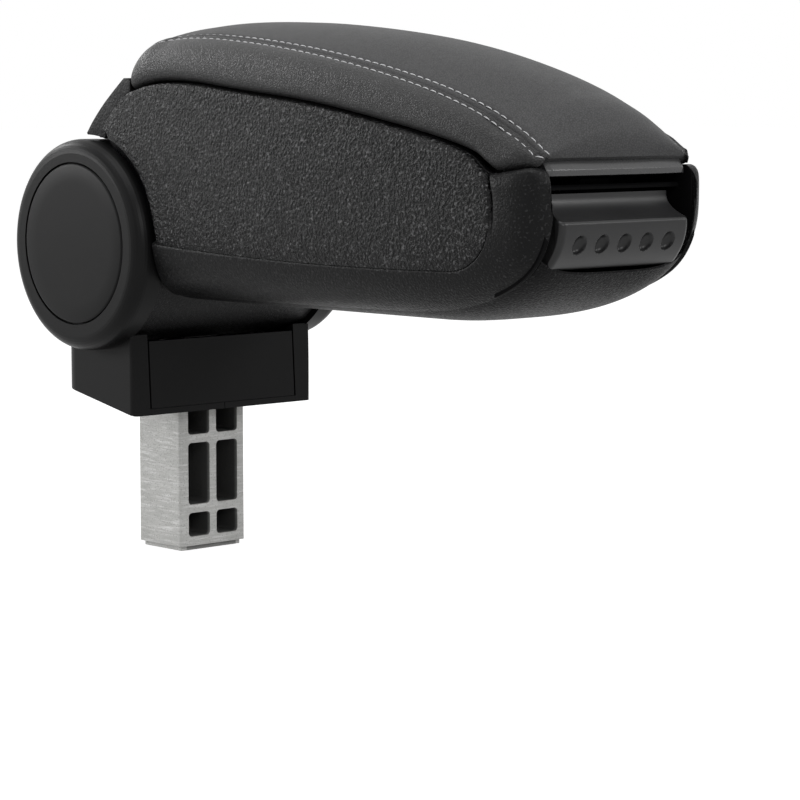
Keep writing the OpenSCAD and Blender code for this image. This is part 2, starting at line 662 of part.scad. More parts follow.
module tray_form(inset) {
    w = tray_half_width - inset;
    rear = tray_rear + inset;
    front = tray_front - inset;
    low = tray_floor + inset;
    intersection() {
        across(-w, w)
            polygon(concat(
                [[rear, low], [front - 31, low], [front, low + 11]],
                inset > 0 ? [[front, 100], [rear, 100]]
                    : [for (s = reversed(tray_steps)) [s, lid_z(s) - lid_plate - 1]]));
        translate([0, -rear + 1, 0]) rotate([90, 0, 0]) linear_extrude(height = front - rear + 2)
            polygon([[-w + tray_chamfer, low], [w - tray_chamfer, low], [w, low + tray_chamfer],
                [w, 100], [-w, 100], [-w, low + tray_chamfer]]);
        upward(low - 1, 101)
            polygon(concat(
                [[w, rear + 60], [w - 3, front - 8]],
                arc(w - 9, front - 6, 6, 0, 90, 4), arc(-w + 9, front - 6, 6, 90, 180, 4),
                [[-w + 3, front - 8], [-w, rear + 60]],
                arc(-w + 6, rear + 6, 6, 180, 270, 4), arc(w - 6, rear + 6, 6, 270, 360, 4)));
    }
}

module storage_tray() color(black) at_pivot() difference() {
    union() {
        tray_form(0);
        // lugs for the latch pin
        both_sides() {
            across(lug_x, lug_x + lug_thick)
                polygon([[tray_front - 1, 8], [latch_s, latch_z + lug_radius],
                    [latch_s, latch_z - lug_radius], [tray_front - 1, 1]]);
            rod(lug_radius, lug_x, lug_x + lug_thick, latch_s, latch_z);
        }
    }
    tray_form(tray_wall);
    rod(pin_radius + run_fit, -latch_cut, latch_cut, latch_s, latch_z);
}
module latch_pin() color(steel) at_pivot()
    rod(pin_radius, -lug_x - lug_thick - 0.2, lug_x + lug_thick + 0.2, latch_s, latch_z);

// Sill across the finger recess, above the scoop
module front_sill() color(black) at_pivot() across(-belly_half_width + gap, belly_half_width - gap)
    polygon([[arm_length - 12, 27.6], [arm_length - 8.5, 27.6], [arm_length - 8.2, 28.6],
        [arm_length - 9, 29.4], [arm_length - 12, 29.4]]);

// Screws that hold the carrier to the belly
arm_screw_x = 14;
arm_screw_rows = [carrier_end - 70, carrier_end - 20];
arm_screw_radius = 3.6;
module arm_screws() color(steel) at_pivot()
    for (x = [-1, 1], s = arm_screw_rows)
        translate([x * arm_screw_x, -s, carrier_floor + 2.05]) cylinder(r = arm_screw_radius, h = 2);

// Lid
plate_front = arm_length - 10.5;
plate_stations = concat([hinge_s + 5],
    [for (s = concat(long_stations, nose_stations)) if (s < plate_front - 0.5) s], [plate_front]);
plan_stations = [hinge_s + 5, 90, 130, 170, 205, tray_front - 3, tray_front, plate_front];
function plate_top_z(s) = lid_z(s) - 0.3;
function plate_half(s) = s < tray_front - 3 ? half_width(s) - 9.5 : lip_half_width;

module lid_base() color(black) at_pivot() difference() {
    union() {
        intersection() {
            across(-ear_outer_x, ear_outer_x)
                polygon(concat(
                    [for (s = plate_stations) [s, plate_top_z(s)]],
                    [for (s = reversed(plate_stations)) [s, plate_top_z(s) - lid_plate]]));
            upward(0, 100)
                polygon(concat(
                    [for (s = plan_stations) [plate_half(s), s]],
                    [for (s = reversed(plan_stations)) [-plate_half(s), s]]));
        }
        // skirt that locates the lid in the tray
        skirt();
        for (k = lid_knuckles) {
            rod(knuckle_radius, k[0], k[1], hinge_s, hinge_z);
            across(k[0], k[1])
                polygon([[hinge_s, hinge_z - knuckle_radius], [hinge_s + 0.5, hinge_z],
                    [hinge_s + 4, hinge_z], [hinge_s + knuckle_arm, plate_top_z(hinge_s + knuckle_arm) - 0.5],
                    [hinge_s + knuckle_arm, plate_top_z(hinge_s + knuckle_arm) - lid_plate + 0.5]]);
        }
    }
    rod(pin_radius + run_fit, -hinge_cut, hinge_cut, hinge_s, hinge_z);
}
knuckle_arm = 7;
skirt_half = tray_half_width - tray_wall - 4.6;
skirt_rear = tray_rear + 9;
skirt_front = tray_front - 16;
skirt_steps = [for (t = [0 : 0.125 : 1.001]) skirt_rear + (skirt_front - skirt_rear) * t];
module skirt() intersection() {
    across(-skirt_half, skirt_half)
        polygon(concat(
            [for (s = skirt_steps) [s, plate_top_z(s) - lid_plate + 0.8]],
            [for (s = reversed(skirt_steps)) [s, plate_top_z(s) - lid_plate - 7]]));
    upward(0, 100) difference() {
        translate([0, (skirt_rear + skirt_front) / 2])
            rounded_rect(2 * skirt_half, skirt_front - skirt_rear, 8);
        translate([0, (skirt_rear + skirt_front) / 2])
            rounded_rect(2 * skirt_half - 4, skirt_front - skirt_rear - 4, 6);
    }
}

// Pad
pad_rear = hinge_s - 0.7;
pad_front = arm_length - 3.6;
// Room beside the hinge knuckles under the pad
hinge_room = 1.5;
function pad_end(s) = round_in(pad_rear + 12 - s, 0, 12);
function pad_half(s) = half_width(s) - 2 - 7 * pad_end(s) - 9.5 * round_in(s, pad_front - 21, 22);
function pad_low(s) = s < hinge_s + 2.8 ? max(lid_z(s), hinge_z + knuckle_radius) : lid_z(s);
function pad_row(s) =
    let (
        w = pad_half(s),
        low = pad_low(s),
        drop = 6 * pad_end(s),
        top = crown_z(s) - drop,
        sx = min(seam_x, w - 4),
        sz = max(low + 1, seam_z(s) - drop)
    )
    concat(
        [for (a = [0 : 18 : 89]) [-(sx + (w - sx) * cos(a)), -s, low + (sz - low) * sin(a)]],
        [for (t = [-1 : 0.25 : 1.001]) [sx * t, -s, top - (top - sz) * t * t]],
        [for (a = [72 : -18 : -1]) [sx + (w - sx) * cos(a), -s, low + (sz - low) * sin(a)]]);
pad_stations = concat([for (d = [0, 1, 2.2, 3.2, 3.8, 5.5, 8, 12]) pad_rear + d],
    [for (s = concat(long_stations, nose_stations)) if (s < pad_front - 1.2) s], [pad_front - 1, pad_front]);

module loft(rows) {
    n = len(rows);
    m = len(rows[0]);
    polyhedron(
        points = [for (r = rows) each r],
        faces = concat(
            [for (i = [0 : n - 2], j = [0 : m - 1])
                let (a = i * m + j, b = i * m + (j + 1) % m) each [[a, b, b + m], [a, b + m, a + m]]],
            [[for (j = [m - 1 : -1 : 0]) j]],
            [[for (j = [0 : m - 1]) (n - 1) * m + j]]));
}
module lid_pad() color(leather_grey) at_pivot() difference() {
    loft([for (s = pad_stations) pad_row(s)]);
    rod(knuckle_radius + gap, -hinge_cut, hinge_cut, hinge_s, hinge_z);
    bar(-hinge_half - hinge_room, hinge_half + hinge_room, pad_rear - 1, hinge_s + knuckle_arm + 0.3,
        hinge_z - 12, hinge_z + knuckle_radius);
}

// Lip under the pad's front edge
lip_front = arm_length - 3;
lip_low = lid_z(lip_front) - 6;
lip_flat = 20;
module lid_lip() color(black) at_pivot() intersection() {
    across(-lip_half_width, lip_half_width)
        polygon([[tray_front + 20, lip_low], [lip_front, lip_low], [lip_front - 0.6, lip_low + 2.2],
            [lip_front - 2.8, lid_z(lip_front - 3) - 0.3], [tray_front + 20, lid_z(tray_front + 20) - 0.4]]);
    upward(lip_low - 1, 60)
        polygon([[-lip_half_width, tray_front], [-lip_half_width, lip_front - 2.4],
            [-lip_half_width + 2, lip_front - 1], [-lip_flat, lip_front - 0.2],
            [lip_flat, lip_front - 0.2], [lip_half_width - 2, lip_front - 1],
            [lip_half_width, lip_front - 2.4], [lip_half_width, tray_front]]);
}

// Striker hook under the lid, and the latch that catches it
hook_s = arm_length - 16.5;
hook_z = 21;
hook_top = lid_z(hook_s) - lid_plate - 0.62;
module lid_striker() color(steel) at_pivot() across(-8, 8)
    polygon([[hook_s, hook_z], [hook_s - 3, hook_z], [hook_s - 3, hook_z + 1.8], [hook_s - 1.6, hook_z + 2.2],
        [hook_s - 1.6, hook_top], [hook_s + 0.4, hook_top], [hook_s + 0.4, hook_z + 1]]);

lid_screw_x = skirt_half - 6.4;
lid_screw_rear = 90;
lid_screw_front = 6;
module lid_screws() color(steel) at_pivot()
    for (x = [-lid_screw_x, lid_screw_x], s = [tray_front - lid_screw_front, tray_front - lid_screw_rear]) {
        z = min(plate_top_z(s - 3), plate_top_z(s + 3)) - lid_plate - 2.6;
        translate([x, -s, z]) cylinder(r = 3, h = 2);
    }

paddle_back = arm_length - 11.2;
paddle_bottom = -1.6;
paddle_shelf_z = 2.1;
paddle_edge_z = 16.4;
paddle_round = 1.4;
sweep_low_z = 17.1;
scoop_top_z = 26.2;
scoop_half = paddle_half_width - 2.5;
sweep_flare = 2.3;
dimple_z = 7.6;
// Front of the paddle at height z, slightly bowed, and the hollow sweep above it
function paddle_front(z) =
    let (bow_top = paddle_edge_z - paddle_round)
    arm_length + 0.7 - 7.6 * pow(clamp((bow_top - z) / (bow_top - paddle_bottom)), 2.2)
    - 0.8 * pow(clamp((z - bow_top) / paddle_round), 2);
function scoop_front(z) =
    arm_length - 8.8 + 8.4 * pow(clamp((scoop_top_z - z) / (scoop_top_z - paddle_edge_z)), 2.4);

module latch_paddle() color(black) at_pivot() difference() {
    union() {
        across(-paddle_half_width, paddle_half_width)
            polygon(concat(
                [[paddle_back, paddle_shelf_z], [arm_length - 9.3, paddle_shelf_z]],
                [for (t = [0 : 1 / 9 : 1.001]) let (z = paddle_bottom + (paddle_edge_z - paddle_bottom) * t)
                    [paddle_front(z), z]],
                [[scoop_front(sweep_low_z + 0.1), sweep_low_z + 0.1], [paddle_back, sweep_low_z + 0.1]]));
        // the sweep's ends flare out to the paddle's full width
        for (i = [0 : 5]) {
            z = sweep_low_z + (scoop_top_z - sweep_low_z) * i / 6;
            top = z + (scoop_top_z - sweep_low_z) / 6 + 0.01;
            half = scoop_half + sweep_flare * pow(1 - i / 6, 3);
            across(-half, half)
                polygon([[paddle_back, z], [scoop_front(z), z], [scoop_front(top), top], [paddle_back, top]]);
        }
        rod(lug_radius, -lug_x + 0.4, lug_x - 0.4, latch_s, latch_z);
        across(-lug_x + 0.4, lug_x - 0.4)
            polygon([[latch_s, latch_z + 2.5], [latch_s + 1.5, latch_z - 2],
                [paddle_back + 1.5, paddle_shelf_z], [paddle_back + 1.5, 6]]);
        // catch behind the striker, on two arms beside it
        bar(-13, 13, latch_s - 7, latch_s - 4.2, hook_z + 2.9, hook_z + 6.4);
        both_sides() bar(10, 13, latch_s - 7, paddle_back + 1, hook_z - 5, hook_z + 2);
        both_sides() bar(10, 13, latch_s - 7, latch_s - 4.2, hook_z - 5, hook_z + 6.4);
    }
    rod(pin_radius + run_fit, -latch_cut, latch_cut, latch_s, latch_z);
    for (i = [0 : dimple_count - 1])
        translate([(i - (dimple_count - 1) / 2) * dimple_pitch, -paddle_front(dimple_z) - 1, dimple_z])
            sphere(r = dimple_radius);
}

// Leaf spring between the tray and the catch
spring_s = tray_front + 0.3;
module latch_spring() color(steel) at_pivot() across(-4, 4) difference() {
    translate([spring_s - 7.9, 14]) circle(r = 12.5);
    translate([spring_s - 7.9, 14]) circle(r = 12.1);
    translate([spring_s - 40, -20]) square([40, 60]);
}

stem_casting();
left_cheek();
right_cheek();
front_cover();
rear_base_cover();
left_cap();
right_cap();
axle();
axle_nut();
spring_washers();
friction_washers();
slot_shield();
base_screws();
belly_shell();
pivot_drum();
barrel_bushes();
hub_carrier();
left_side_shell();
right_side_shell();
left_side_panel();
right_side_panel();
rear_cover();
storage_tray();
front_sill();
lid_hinge_pin();
latch_pin();
latch_spring();
arm_screws();
lid_base();
lid_pad();
lid_lip();
lid_striker();
lid_screws();
latch_paddle();
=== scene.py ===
"""Looks of a folding car centre armrest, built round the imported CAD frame.

Shapes are worked out in millimetres about the pivot axis: x across the car,
s forward of the axis, z above it. place() turns them into the frame's metres.
"""
import json
import math

import bmesh
import bpy
from mathutils import Euler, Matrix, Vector, noise


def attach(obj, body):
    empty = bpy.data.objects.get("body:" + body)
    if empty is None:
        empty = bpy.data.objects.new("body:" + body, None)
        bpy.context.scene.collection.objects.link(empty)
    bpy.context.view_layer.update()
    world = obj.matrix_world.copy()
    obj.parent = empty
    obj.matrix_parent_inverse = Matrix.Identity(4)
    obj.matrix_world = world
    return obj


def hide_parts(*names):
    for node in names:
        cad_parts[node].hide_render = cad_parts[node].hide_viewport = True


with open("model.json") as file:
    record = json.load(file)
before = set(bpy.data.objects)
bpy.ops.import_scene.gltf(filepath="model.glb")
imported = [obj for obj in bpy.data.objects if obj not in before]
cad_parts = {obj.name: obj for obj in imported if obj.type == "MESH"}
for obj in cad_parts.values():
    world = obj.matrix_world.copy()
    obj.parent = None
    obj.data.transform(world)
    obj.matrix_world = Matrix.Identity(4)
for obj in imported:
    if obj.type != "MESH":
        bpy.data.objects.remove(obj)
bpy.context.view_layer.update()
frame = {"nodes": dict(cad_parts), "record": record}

nodes = frame["nodes"]

MM = 0.001
PIVOT_SETBACK = 2.2
PIVOT_HEIGHT = 68.8

# The arm's driving sizes, as in the part's source
ARM_LENGTH = 260.5
ARM_HALF_WIDTH = 57.0
SIDE_TAPER = 7.0
TAPER_POWER = 1.9
NOSE_RUN = 14.0
NOSE_INSET = 9.6
BELLY_DEPTH = 24.7
BELLY_RISE = 75.5
BELLY_RIM_Z = 14.5
BELLY_POWER = 2.26
WIDEST_Z = 28.4
BELLY_HALF = 39.0
LID_LINE_Z = 68.0
BAND_WALL = 5.0
BELLY_STEP = 1.5
BELLY_WALL = 3.0
PANEL_WALL = 2.6
GAP = 0.4
EAR_RADIUS = 45.0
TAPER_START = EAR_RADIUS + 15
TAPER_RUN = ARM_LENGTH - EAR_RADIUS - 40.5
EAR_INNER_X = 48.4
EAR_OUTER_X = 62.0
CAP_RADIUS = 34.0
DRUM_RADIUS = 43.7
DRUM_X = EAR_INNER_X - GAP
ARM_ARC = EAR_RADIUS + 1.4
PANEL_ARC = ARM_ARC + 3.1
PANEL_TIP = ARM_LENGTH - 22.0
PANEL_ROUND = 22.0
PANEL_CORNER_Z = 21.0
PANEL_LEAN = 0.024
GROOVE_LOW_Z = -4.0
GROOVE_BOW = 4.7
GROOVE_MIDDLE = 0.672
WING_DROP = 11.0
WING_DROP_START = ARM_LENGTH - 8.5
WING_DROP_RUN = 8.3
TIP = ARM_LENGTH - 0.2
POWER = 3.91
HINGE_S = 31.5
HINGE_Z = 72.0
KNUCKLE_RADIUS = 2.6
SEAM_X = 39.5
PAD_REAR = HINGE_S - 1.2
PAD_FRONT = ARM_LENGTH - 3.6
STEM_BOTTOM = -PIVOT_HEIGHT - 67.0

LID_LINE = [(0.115, 4.2), (0.131, 3.1), (0.157, 1.4), (0.194, 0.3), (0.235, 0.2), (0.291, 1.2), (0.369, 3.6),
            (0.541, 8.6), (0.703, 16.1), (0.818, 22.6), (0.875, 27.2), (0.914, 33.4), (0.944, 32.8),
            (0.975, 31.2), (1, 29)]
SEAM_LINE = [(0.107, 16.5), (0.219, 18.3), (0.342, 16.4), (0.461, 12.7), (0.574, 7.9),
             (0.683, 2.1), (0.789, -4.9), (0.871, -12.2), (0.929, -19.4), (0.971, -26.2), (0.99, -29.5)]
CROWN_LINE = [(0.119, 5.7), (0.23, 6.3), (0.384, 8.2), (0.537, 10.2), (0.691, 11.8),
              (0.806, 12.1), (0.902, 12.7), (0.96, 13.5), (0.99, 9.5)]
COVER_SEAM = [(47.5, 13.5), (55.2, 20), (61.1, 27.1), (64.9, 34.1)]
COVER_LINE = [(46.4, -0.5), (51.7, 4.1), (58.6, 11.4), (65.4, 20), (70.5, 27.1), (73.6, 32.5)]
SEAM_HIGH_Z = COVER_SEAM[-1][0]
CORNER_SHARE = 0.738


# Form of the arm
def place(x, s, z):
    """Frame position in metres of the point x, s, z in millimetres about the pivot."""
    return Vector((x * MM, (PIVOT_SETBACK - s) * MM, (z + PIVOT_HEIGHT) * MM))


def clamp(x, low=0.0, high=1.0):
    return max(low, min(high, x))


def smooth(t):
    t = clamp(t)
    return t * t * (3 - 2 * t)


def curve(points, x):
    """Smooth curve through the points (x, y)."""
    i = 0
    while i < len(points) - 2 and x >= points[i + 1][0]:
        i += 1

    def slope(k):
        a, b = points[max(k - 1, 0)], points[min(k + 1, len(points) - 1)]
        return (b[1] - a[1]) / (b[0] - a[0])

    w = points[i + 1][0] - points[i][0]
    t = (x - points[i][0]) / w
    a, b = slope(i) * w, slope(i + 1) * w
    return ((2 * t**3 - 3 * t**2 + 1) * points[i][1] + (t**3 - 2 * t**2 + t) * a
            + (3 * t**2 - 2 * t**3) * points[i + 1][1] + (t**3 - t**2) * b)


def round_in(x, start, run):
    """Inset of a quarter round: 0 where it starts, 1 where it ends."""
    u = clamp((x - start) / run)
    return 1 - math.sqrt(1 - u * u)


def half_width(s):
    """Half width of the arm at its widest level: slightly tapered, then rounded at the nose."""
    taper = SIDE_TAPER * max(0.0, (s - TAPER_START) / TAPER_RUN) ** TAPER_POWER
    return ARM_HALF_WIDTH - taper - NOSE_INSET * round_in(s, ARM_LENGTH - NOSE_RUN, NOSE_RUN)


def belly_z(s):
    """Bottom of the belly at s; it rises to the nose in a superellipse."""
    u = clamp((s - ARM_LENGTH + BELLY_RISE) / BELLY_RISE)
    return BELLY_RIM_Z - (BELLY_RIM_Z + BELLY_DEPTH) * (1 - u**BELLY_POWER) ** (1 / BELLY_POWER)


def lid_z(s):
    return LID_LINE_Z - curve(LID_LINE, s / ARM_LENGTH)


def wing_top(s):
    return lid_z(s) - GAP - WING_DROP * round_in(s, WING_DROP_START, WING_DROP_RUN)


def seam_z(s):
    return LID_LINE_Z + curve(SEAM_LINE, s / ARM_LENGTH)


def crown_z(s):
    return seam_z(s) + curve(CROWN_LINE, s / ARM_LENGTH)


def lower_point(s, turn, depth):
    """Point of the section at s: turn 0 is the widest level, 90 the bottom."""
    w = half_width(min(s, ARM_LENGTH - depth * 0.7)) - depth
    h = WIDEST_Z - belly_z(min(s, ARM_LENGTH - depth * 0.9)) - depth
    t = math.radians(clamp(turn, 0, 90))
    return (w * max(0.0, math.cos(t)) ** (2 / POWER), s, WIDEST_Z - h * math.sin(t) ** (2 / POWER))


def turn_at_x(s, x, depth):
    """Turn of lower_point at distance x from the centre line."""
    w = half_width(min(s, ARM_LENGTH - depth * 0.7)) - depth
    return math.degrees(math.acos(min(0.999, x / w) ** (POWER / 2)))


def turn_at_z(s, z):
    """Turn of lower_point at height z."""
    return math.degrees(math.asin(clamp((WIDEST_Z - z) / (WIDEST_Z - belly_z(s))) ** (POWER / 2)))


def side_point(s, z, depth):
    """Point of the arm's side at height z, depth millimetres inside the outer form."""
    if z < WIDEST_Z:
        return lower_point(s, turn_at_z(s, z), depth)
    u = (z - WIDEST_Z) / (lid_z(s) - WIDEST_Z)
    return (half_width(min(s, ARM_LENGTH - depth * 0.7)) - depth - 2 * u * u, s, z)


def groove_z(s):
    """Height of the groove under the side panel, with the round corner at its front."""
    bow = ((GROOVE_MIDDLE * ARM_LENGTH - s) / (ARM_LENGTH / 2)) ** 2
    corner = PANEL_ROUND * round_in(s, PANEL_TIP - PANEL_ROUND, PANEL_ROUND)
    return GROOVE_LOW_Z + GROOVE_BOW * bow + corner


def rear_s(z, r):
    """Rear edge of the side: an arc round the ear, then the seam of the rear cover."""
    low_z, low_s = COVER_SEAM[0]
    if z < low_z:
        return math.sqrt(max(low_s * low_s, r * r - z * z))
    return curve(COVER_SEAM, min(z, SEAM_HIGH_Z))


def bent_s(s, z, r):
    """Station s moved at height z so that station r meets the rear edge."""
    return s + (rear_s(z, r) - r) * (1 - clamp((s - r) / (PANEL_TIP - r))) ** 6


def bend(p, r):
    """Moves a point near the rear edge so that the edge follows the round ear."""
    return (p[0], bent_s(p[1], p[2], r), p[2])


def top_at(s, r):
    """Top of the side at station s, where the bent station meets the lid line."""
    z = lid_z(bent_s(s, SEAM_HIGH_Z, r)) - GAP
    return wing_top(bent_s(s, z, r))


def front_lean(s, z):
    """How far the front edge of the side panel leans back at height z."""
    if s <= PANEL_TIP:
        fade = clamp((s - PANEL_ARC) / (PANEL_TIP - PANEL_ARC)) ** 24
    else:
        fade = (1 - (s - PANEL_TIP) / (TIP - PANEL_TIP)) ** 2
    return PANEL_LEAN * max(0.0, z - PANEL_CORNER_Z - 1) ** 2 * fade


def leaning_point(s, z, depth):
    """x, setback and height of the side's point that follows the panel's leaning front edge."""
    back = front_lean(s, z)
    x, _, height = side_point(s - back, z, depth)
    return x, back, height


def heights(low, high, arc_steps, seam_steps):
    """Heights close together where the rear edge bends, with one at its corner."""
    corner = low + (high - low) * CORNER_SHARE
    sweep = math.radians(73)
    arc = [low + (corner - low) * math.sin(sweep * i / arc_steps) / math.sin(sweep) for i in range(arc_steps)]
    return arc + [corner + (high - corner) * i / seam_steps for i in range(seam_steps + 1)]


# Mesh builders
def finish_mesh(name, mesh, material, body, angle=38.0):
    """Smooth-shaded object from a mesh, riding on a body and finished in a slot."""
    mesh.validate()
    bm = bmesh.new()
    bm.from_mesh(mesh)
    bmesh.ops.remove_doubles(bm, verts=bm.verts, dist=1e-6)
    bmesh.ops.recalc_face_normals(bm, faces=bm.faces)
    bm.to_mesh(mesh)
    bm.free()
    mesh.shade_smooth()
    mesh.set_sharp_from_angle(angle=math.radians(angle))
    mesh.materials.append(material)
    piece = bpy.data.objects.new(name, mesh)
    bpy.context.scene.collection.objects.link(piece)
    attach(piece, body)
    return piece


def loft(name, rings, material, body, mirror=False, closed=True, capped=True, angle=38.0):
    """Skin through rings of points (x, s, z); closed rings make a solid with end caps."""
    side = -1 if mirror else 1
    verts = [place(side * p[0], p[1], p[2]) for ring in rings for p in ring]
    count = len(rings[0])
    last = count if closed else count - 1
    faces = []
    for i in range(len(rings) - 1):
        for j in range(last):
            a, b = i * count + j, i * count + (j + 1) % count
            faces.append((a, b, b + count, a + count))
    if closed and capped:
        faces.append(tuple(reversed(range(count))))
        faces.append(tuple((len(rings) - 1) * count + j for j in range(count)))
    mesh = bpy.data.meshes.new(name)
    mesh.from_pydata(verts, [], faces)
    return finish_mesh(name, mesh, material, body, angle)


def fillet(points, radii, steps=4):
    """Rounds the corners of an open outline of 2-D points; radius 0 leaves a point."""
    out = []
    for i, p in enumerate(points):
        r = radii[i]
        if r == 0 or i == 0 or i == len(points) - 1:
            out.append(tuple(p))
            continue
        a, b, c = Vector(points[i - 1]), Vector(p), Vector(points[i + 1])
        u, v = (a - b).normalized(), (c - b).normalized()
        half = math.acos(clamp(u.dot(v), -1, 1)) / 2
        cut = min(r / math.tan(half), (a - b).length * 0.49, (c - b).length * 0.49)
        p0, p2 = b + u * cut, b + v * cut
        for k in range(steps + 1):
            t = k / steps
            q = p0 * (1 - t) ** 2 + b * 2 * t * (1 - t) + p2 * t**2
            out.append((q.x, q.y))
    return out


def lathe(name, profile, material, body, steps=160, mirror=False, angle=38.0, drop=0.0):
    """Solid of revolution, drop below the pivot axis, from a closed outline of (radius, x)."""
    rings = []
    for k in range(steps):
        t = 2 * math.pi * k / steps
        rings.append([(x, r * math.cos(t), r * math.sin(t) - drop) for r, x in profile])
    rings.append(rings[0])
    return loft(name, rings, material, body, mirror, capped=False, angle=angle)


EDGE_STEPS = 4


def extrude(name, outline, x0, x1, material, body, edge=0.5, angle=38.0):
    """Side outline of (s, z) points from x0 to x1, with rounded end edges."""
    n = len(outline)
    area = sum(outline[i - 1][0] * p[1] - p[0] * outline[i - 1][1] for i, p in enumerate(outline))
    inward = 1 if area > 0 else -1

    def inset(d):
        ring = []
        for i, p in enumerate(outline):
            a, b, c = Vector(outline[i - 1]), Vector(p), Vector(outline[(i + 1) % n])
            along = (c - a).normalized()
            ring.append(b + Vector((-along.y, along.x)) * d * inward)
        return ring

    rings = []
    turns = [90 * k / EDGE_STEPS for k in range(EDGE_STEPS + 1)]
    for x, sign, order in ((x0, 1, turns), (x1, -1, turns[::-1])):
        for turn in order:
            a = math.radians(turn)
            ring = inset(edge * (1 - math.sin(a)))
            rings.append([(x + sign * edge * (1 - math.cos(a)), p.x, p.y) for p in ring])
    return loft(name, rings, material, body, angle=angle)


def circle(s, z, radius):
    """Outline of (s, z) points round a centre, for a pin or a hinge barrel."""
    turns = [math.radians(15 * k) for k in range(24)]
    return [(s + radius * math.cos(a), z + radius * math.sin(a)) for a in turns]


# Materials
class Surface:
    """Small helper that builds a node material round one principled shader."""

    def __init__(self, name, colour, roughness, metallic=0.0, specular=0.5):
        self.material = bpy.data.materials.new(name)
        self.material.use_nodes = True
        self.tree = self.material.node_tree
        self.shader = self.tree.nodes["Principled BSDF"]
        self.shader.inputs["Base Color"].default_value = (*colour, 1)
        self.shader.inputs["Roughness"].default_value = roughness
        self.shader.inputs["Metallic"].default_value = metallic
        self.shader.inputs["Specular IOR Level"].default_value = specular
        self.where = self.tree.nodes.new("ShaderNodeTexCoord").outputs["Object"]
        self.normal = None

    def noise(self, scale, detail=3.0, roughness=0.5, stretch=None):
        where = self.where
        if stretch:
            mapping = self.tree.nodes.new("ShaderNodeMapping")
            mapping.inputs["Scale"].default_value = stretch
            self.tree.links.new(where, mapping.inputs["Vector"])
            where = mapping.outputs["Vector"]
        node = self.tree.nodes.new("ShaderNodeTexNoise")
        node.inputs["Scale"].default_value = scale
        node.inputs["Detail"].default_value = detail
        node.inputs["Roughness"].default_value = roughness
        self.tree.links.new(where, node.inputs["Vector"])
        return node.outputs["Fac"]

    def cells(self, scale, feature="F1", warp=None):
        where = self.where
        if warp:
            shift = self.tree.nodes.new("ShaderNodeTexNoise")
            shift.inputs["Scale"].default_value = scale * 0.6
            mix = self.tree.nodes.new("ShaderNodeMix")
            mix.data_type = "VECTOR"
            mix.inputs["Factor"].default_value = warp
            self.tree.links.new(where, shift.inputs["Vector"])
            self.tree.links.new(where, mix.inputs[4])
            self.tree.links.new(shift.outputs["Color"], mix.inputs[5])
            where = mix.outputs[1]
        node = self.tree.nodes.new("ShaderNodeTexVoronoi")
        node.feature = feature
        node.inputs["Scale"].default_value = scale
        self.tree.links.new(where, node.inputs["Vector"])
        return node.outputs["Distance"]

    def ramp(self, source, low, high, from_low=0.0, from_high=1.0):
        node = self.tree.nodes.new("ShaderNodeMapRange")
        node.inputs["From Min"].default_value = from_low
        node.inputs["From Max"].default_value = from_high
        node.inputs["To Min"].default_value = low
        node.inputs["To Max"].default_value = high
        self.tree.links.new(source, node.inputs["Value"])
        return node.outputs["Result"]

    def blend_colour(self, factor, first, second):
        node = self.tree.nodes.new("ShaderNodeMix")
        node.data_type = "RGBA"
        for socket, colour in ((node.inputs[6], first), (node.inputs[7], second)):
            if isinstance(colour, tuple):
                socket.default_value = (*colour, 1)
            else:
                self.tree.links.new(colour, socket)
        self.tree.links.new(factor, node.inputs["Factor"])
        return node.outputs[2]

    def set(self, name, output):
        self.tree.links.new(output, self.shader.inputs[name])

    def math(self, operation, first, second):
        """Result of a math node; each operand is an output or a number."""
        node = self.tree.nodes.new("ShaderNodeMath")
        node.operation = operation
        for socket, value in zip(node.inputs, (first, second)):
            if isinstance(value, (int, float)):
                socket.default_value = value
            else:
                self.tree.links.new(value, socket)
        return node.outputs[0]

    def pocket_shade_mask(self, front_y, half):
        """Mask of the painted shade: 1 behind the stem's front face and between its outer walls, in metres,
        else 0.
        """
        split = self.tree.nodes.new("ShaderNodeSeparateXYZ")
        self.tree.links.new(self.where, split.inputs[0])
        depth = self.ramp(split.outputs["Y"], 0.0, 1.0, front_y + 0.0002, front_y + 0.0022)
        across = self.math("LESS_THAN", self.math("ABSOLUTE", split.outputs["X"], 0.0), half)
        return self.math("MULTIPLY", depth, across)

    def bump(self, source, distance, strength=1.0):
        """Adds a layer of relief, distance metres high, on top of the ones before."""
        node = self.tree.nodes.new("ShaderNodeBump")
        node.inputs["Distance"].default_value = distance
        node.inputs["Strength"].default_value = strength
        self.tree.links.new(source, node.inputs["Height"])
        if self.normal:
            self.tree.links.new(self.normal, node.inputs["Normal"])
        self.normal = node.outputs["Normal"]
        self.tree.links.new(self.normal, self.shader.inputs["Normal"])


def smooth_black(name, tone, specular, roughness):
    s = Surface(name, (tone, tone, tone), roughness, specular=specular)
    dark, light = (tone, tone, tone * 1.03), (tone * 1.5, tone * 1.5, tone * 1.54)
    s.set("Base Color", s.blend_colour(s.noise(60, 4), dark, light))
    s.set("Roughness", s.ramp(s.noise(140, 5, 0.6), roughness - 0.04, roughness + 0.06))
    s.bump(s.noise(1800, 2), 0.00002, 0.5)
    s.bump(s.noise(28, 2), 0.0003, 0.12)
    return s.material


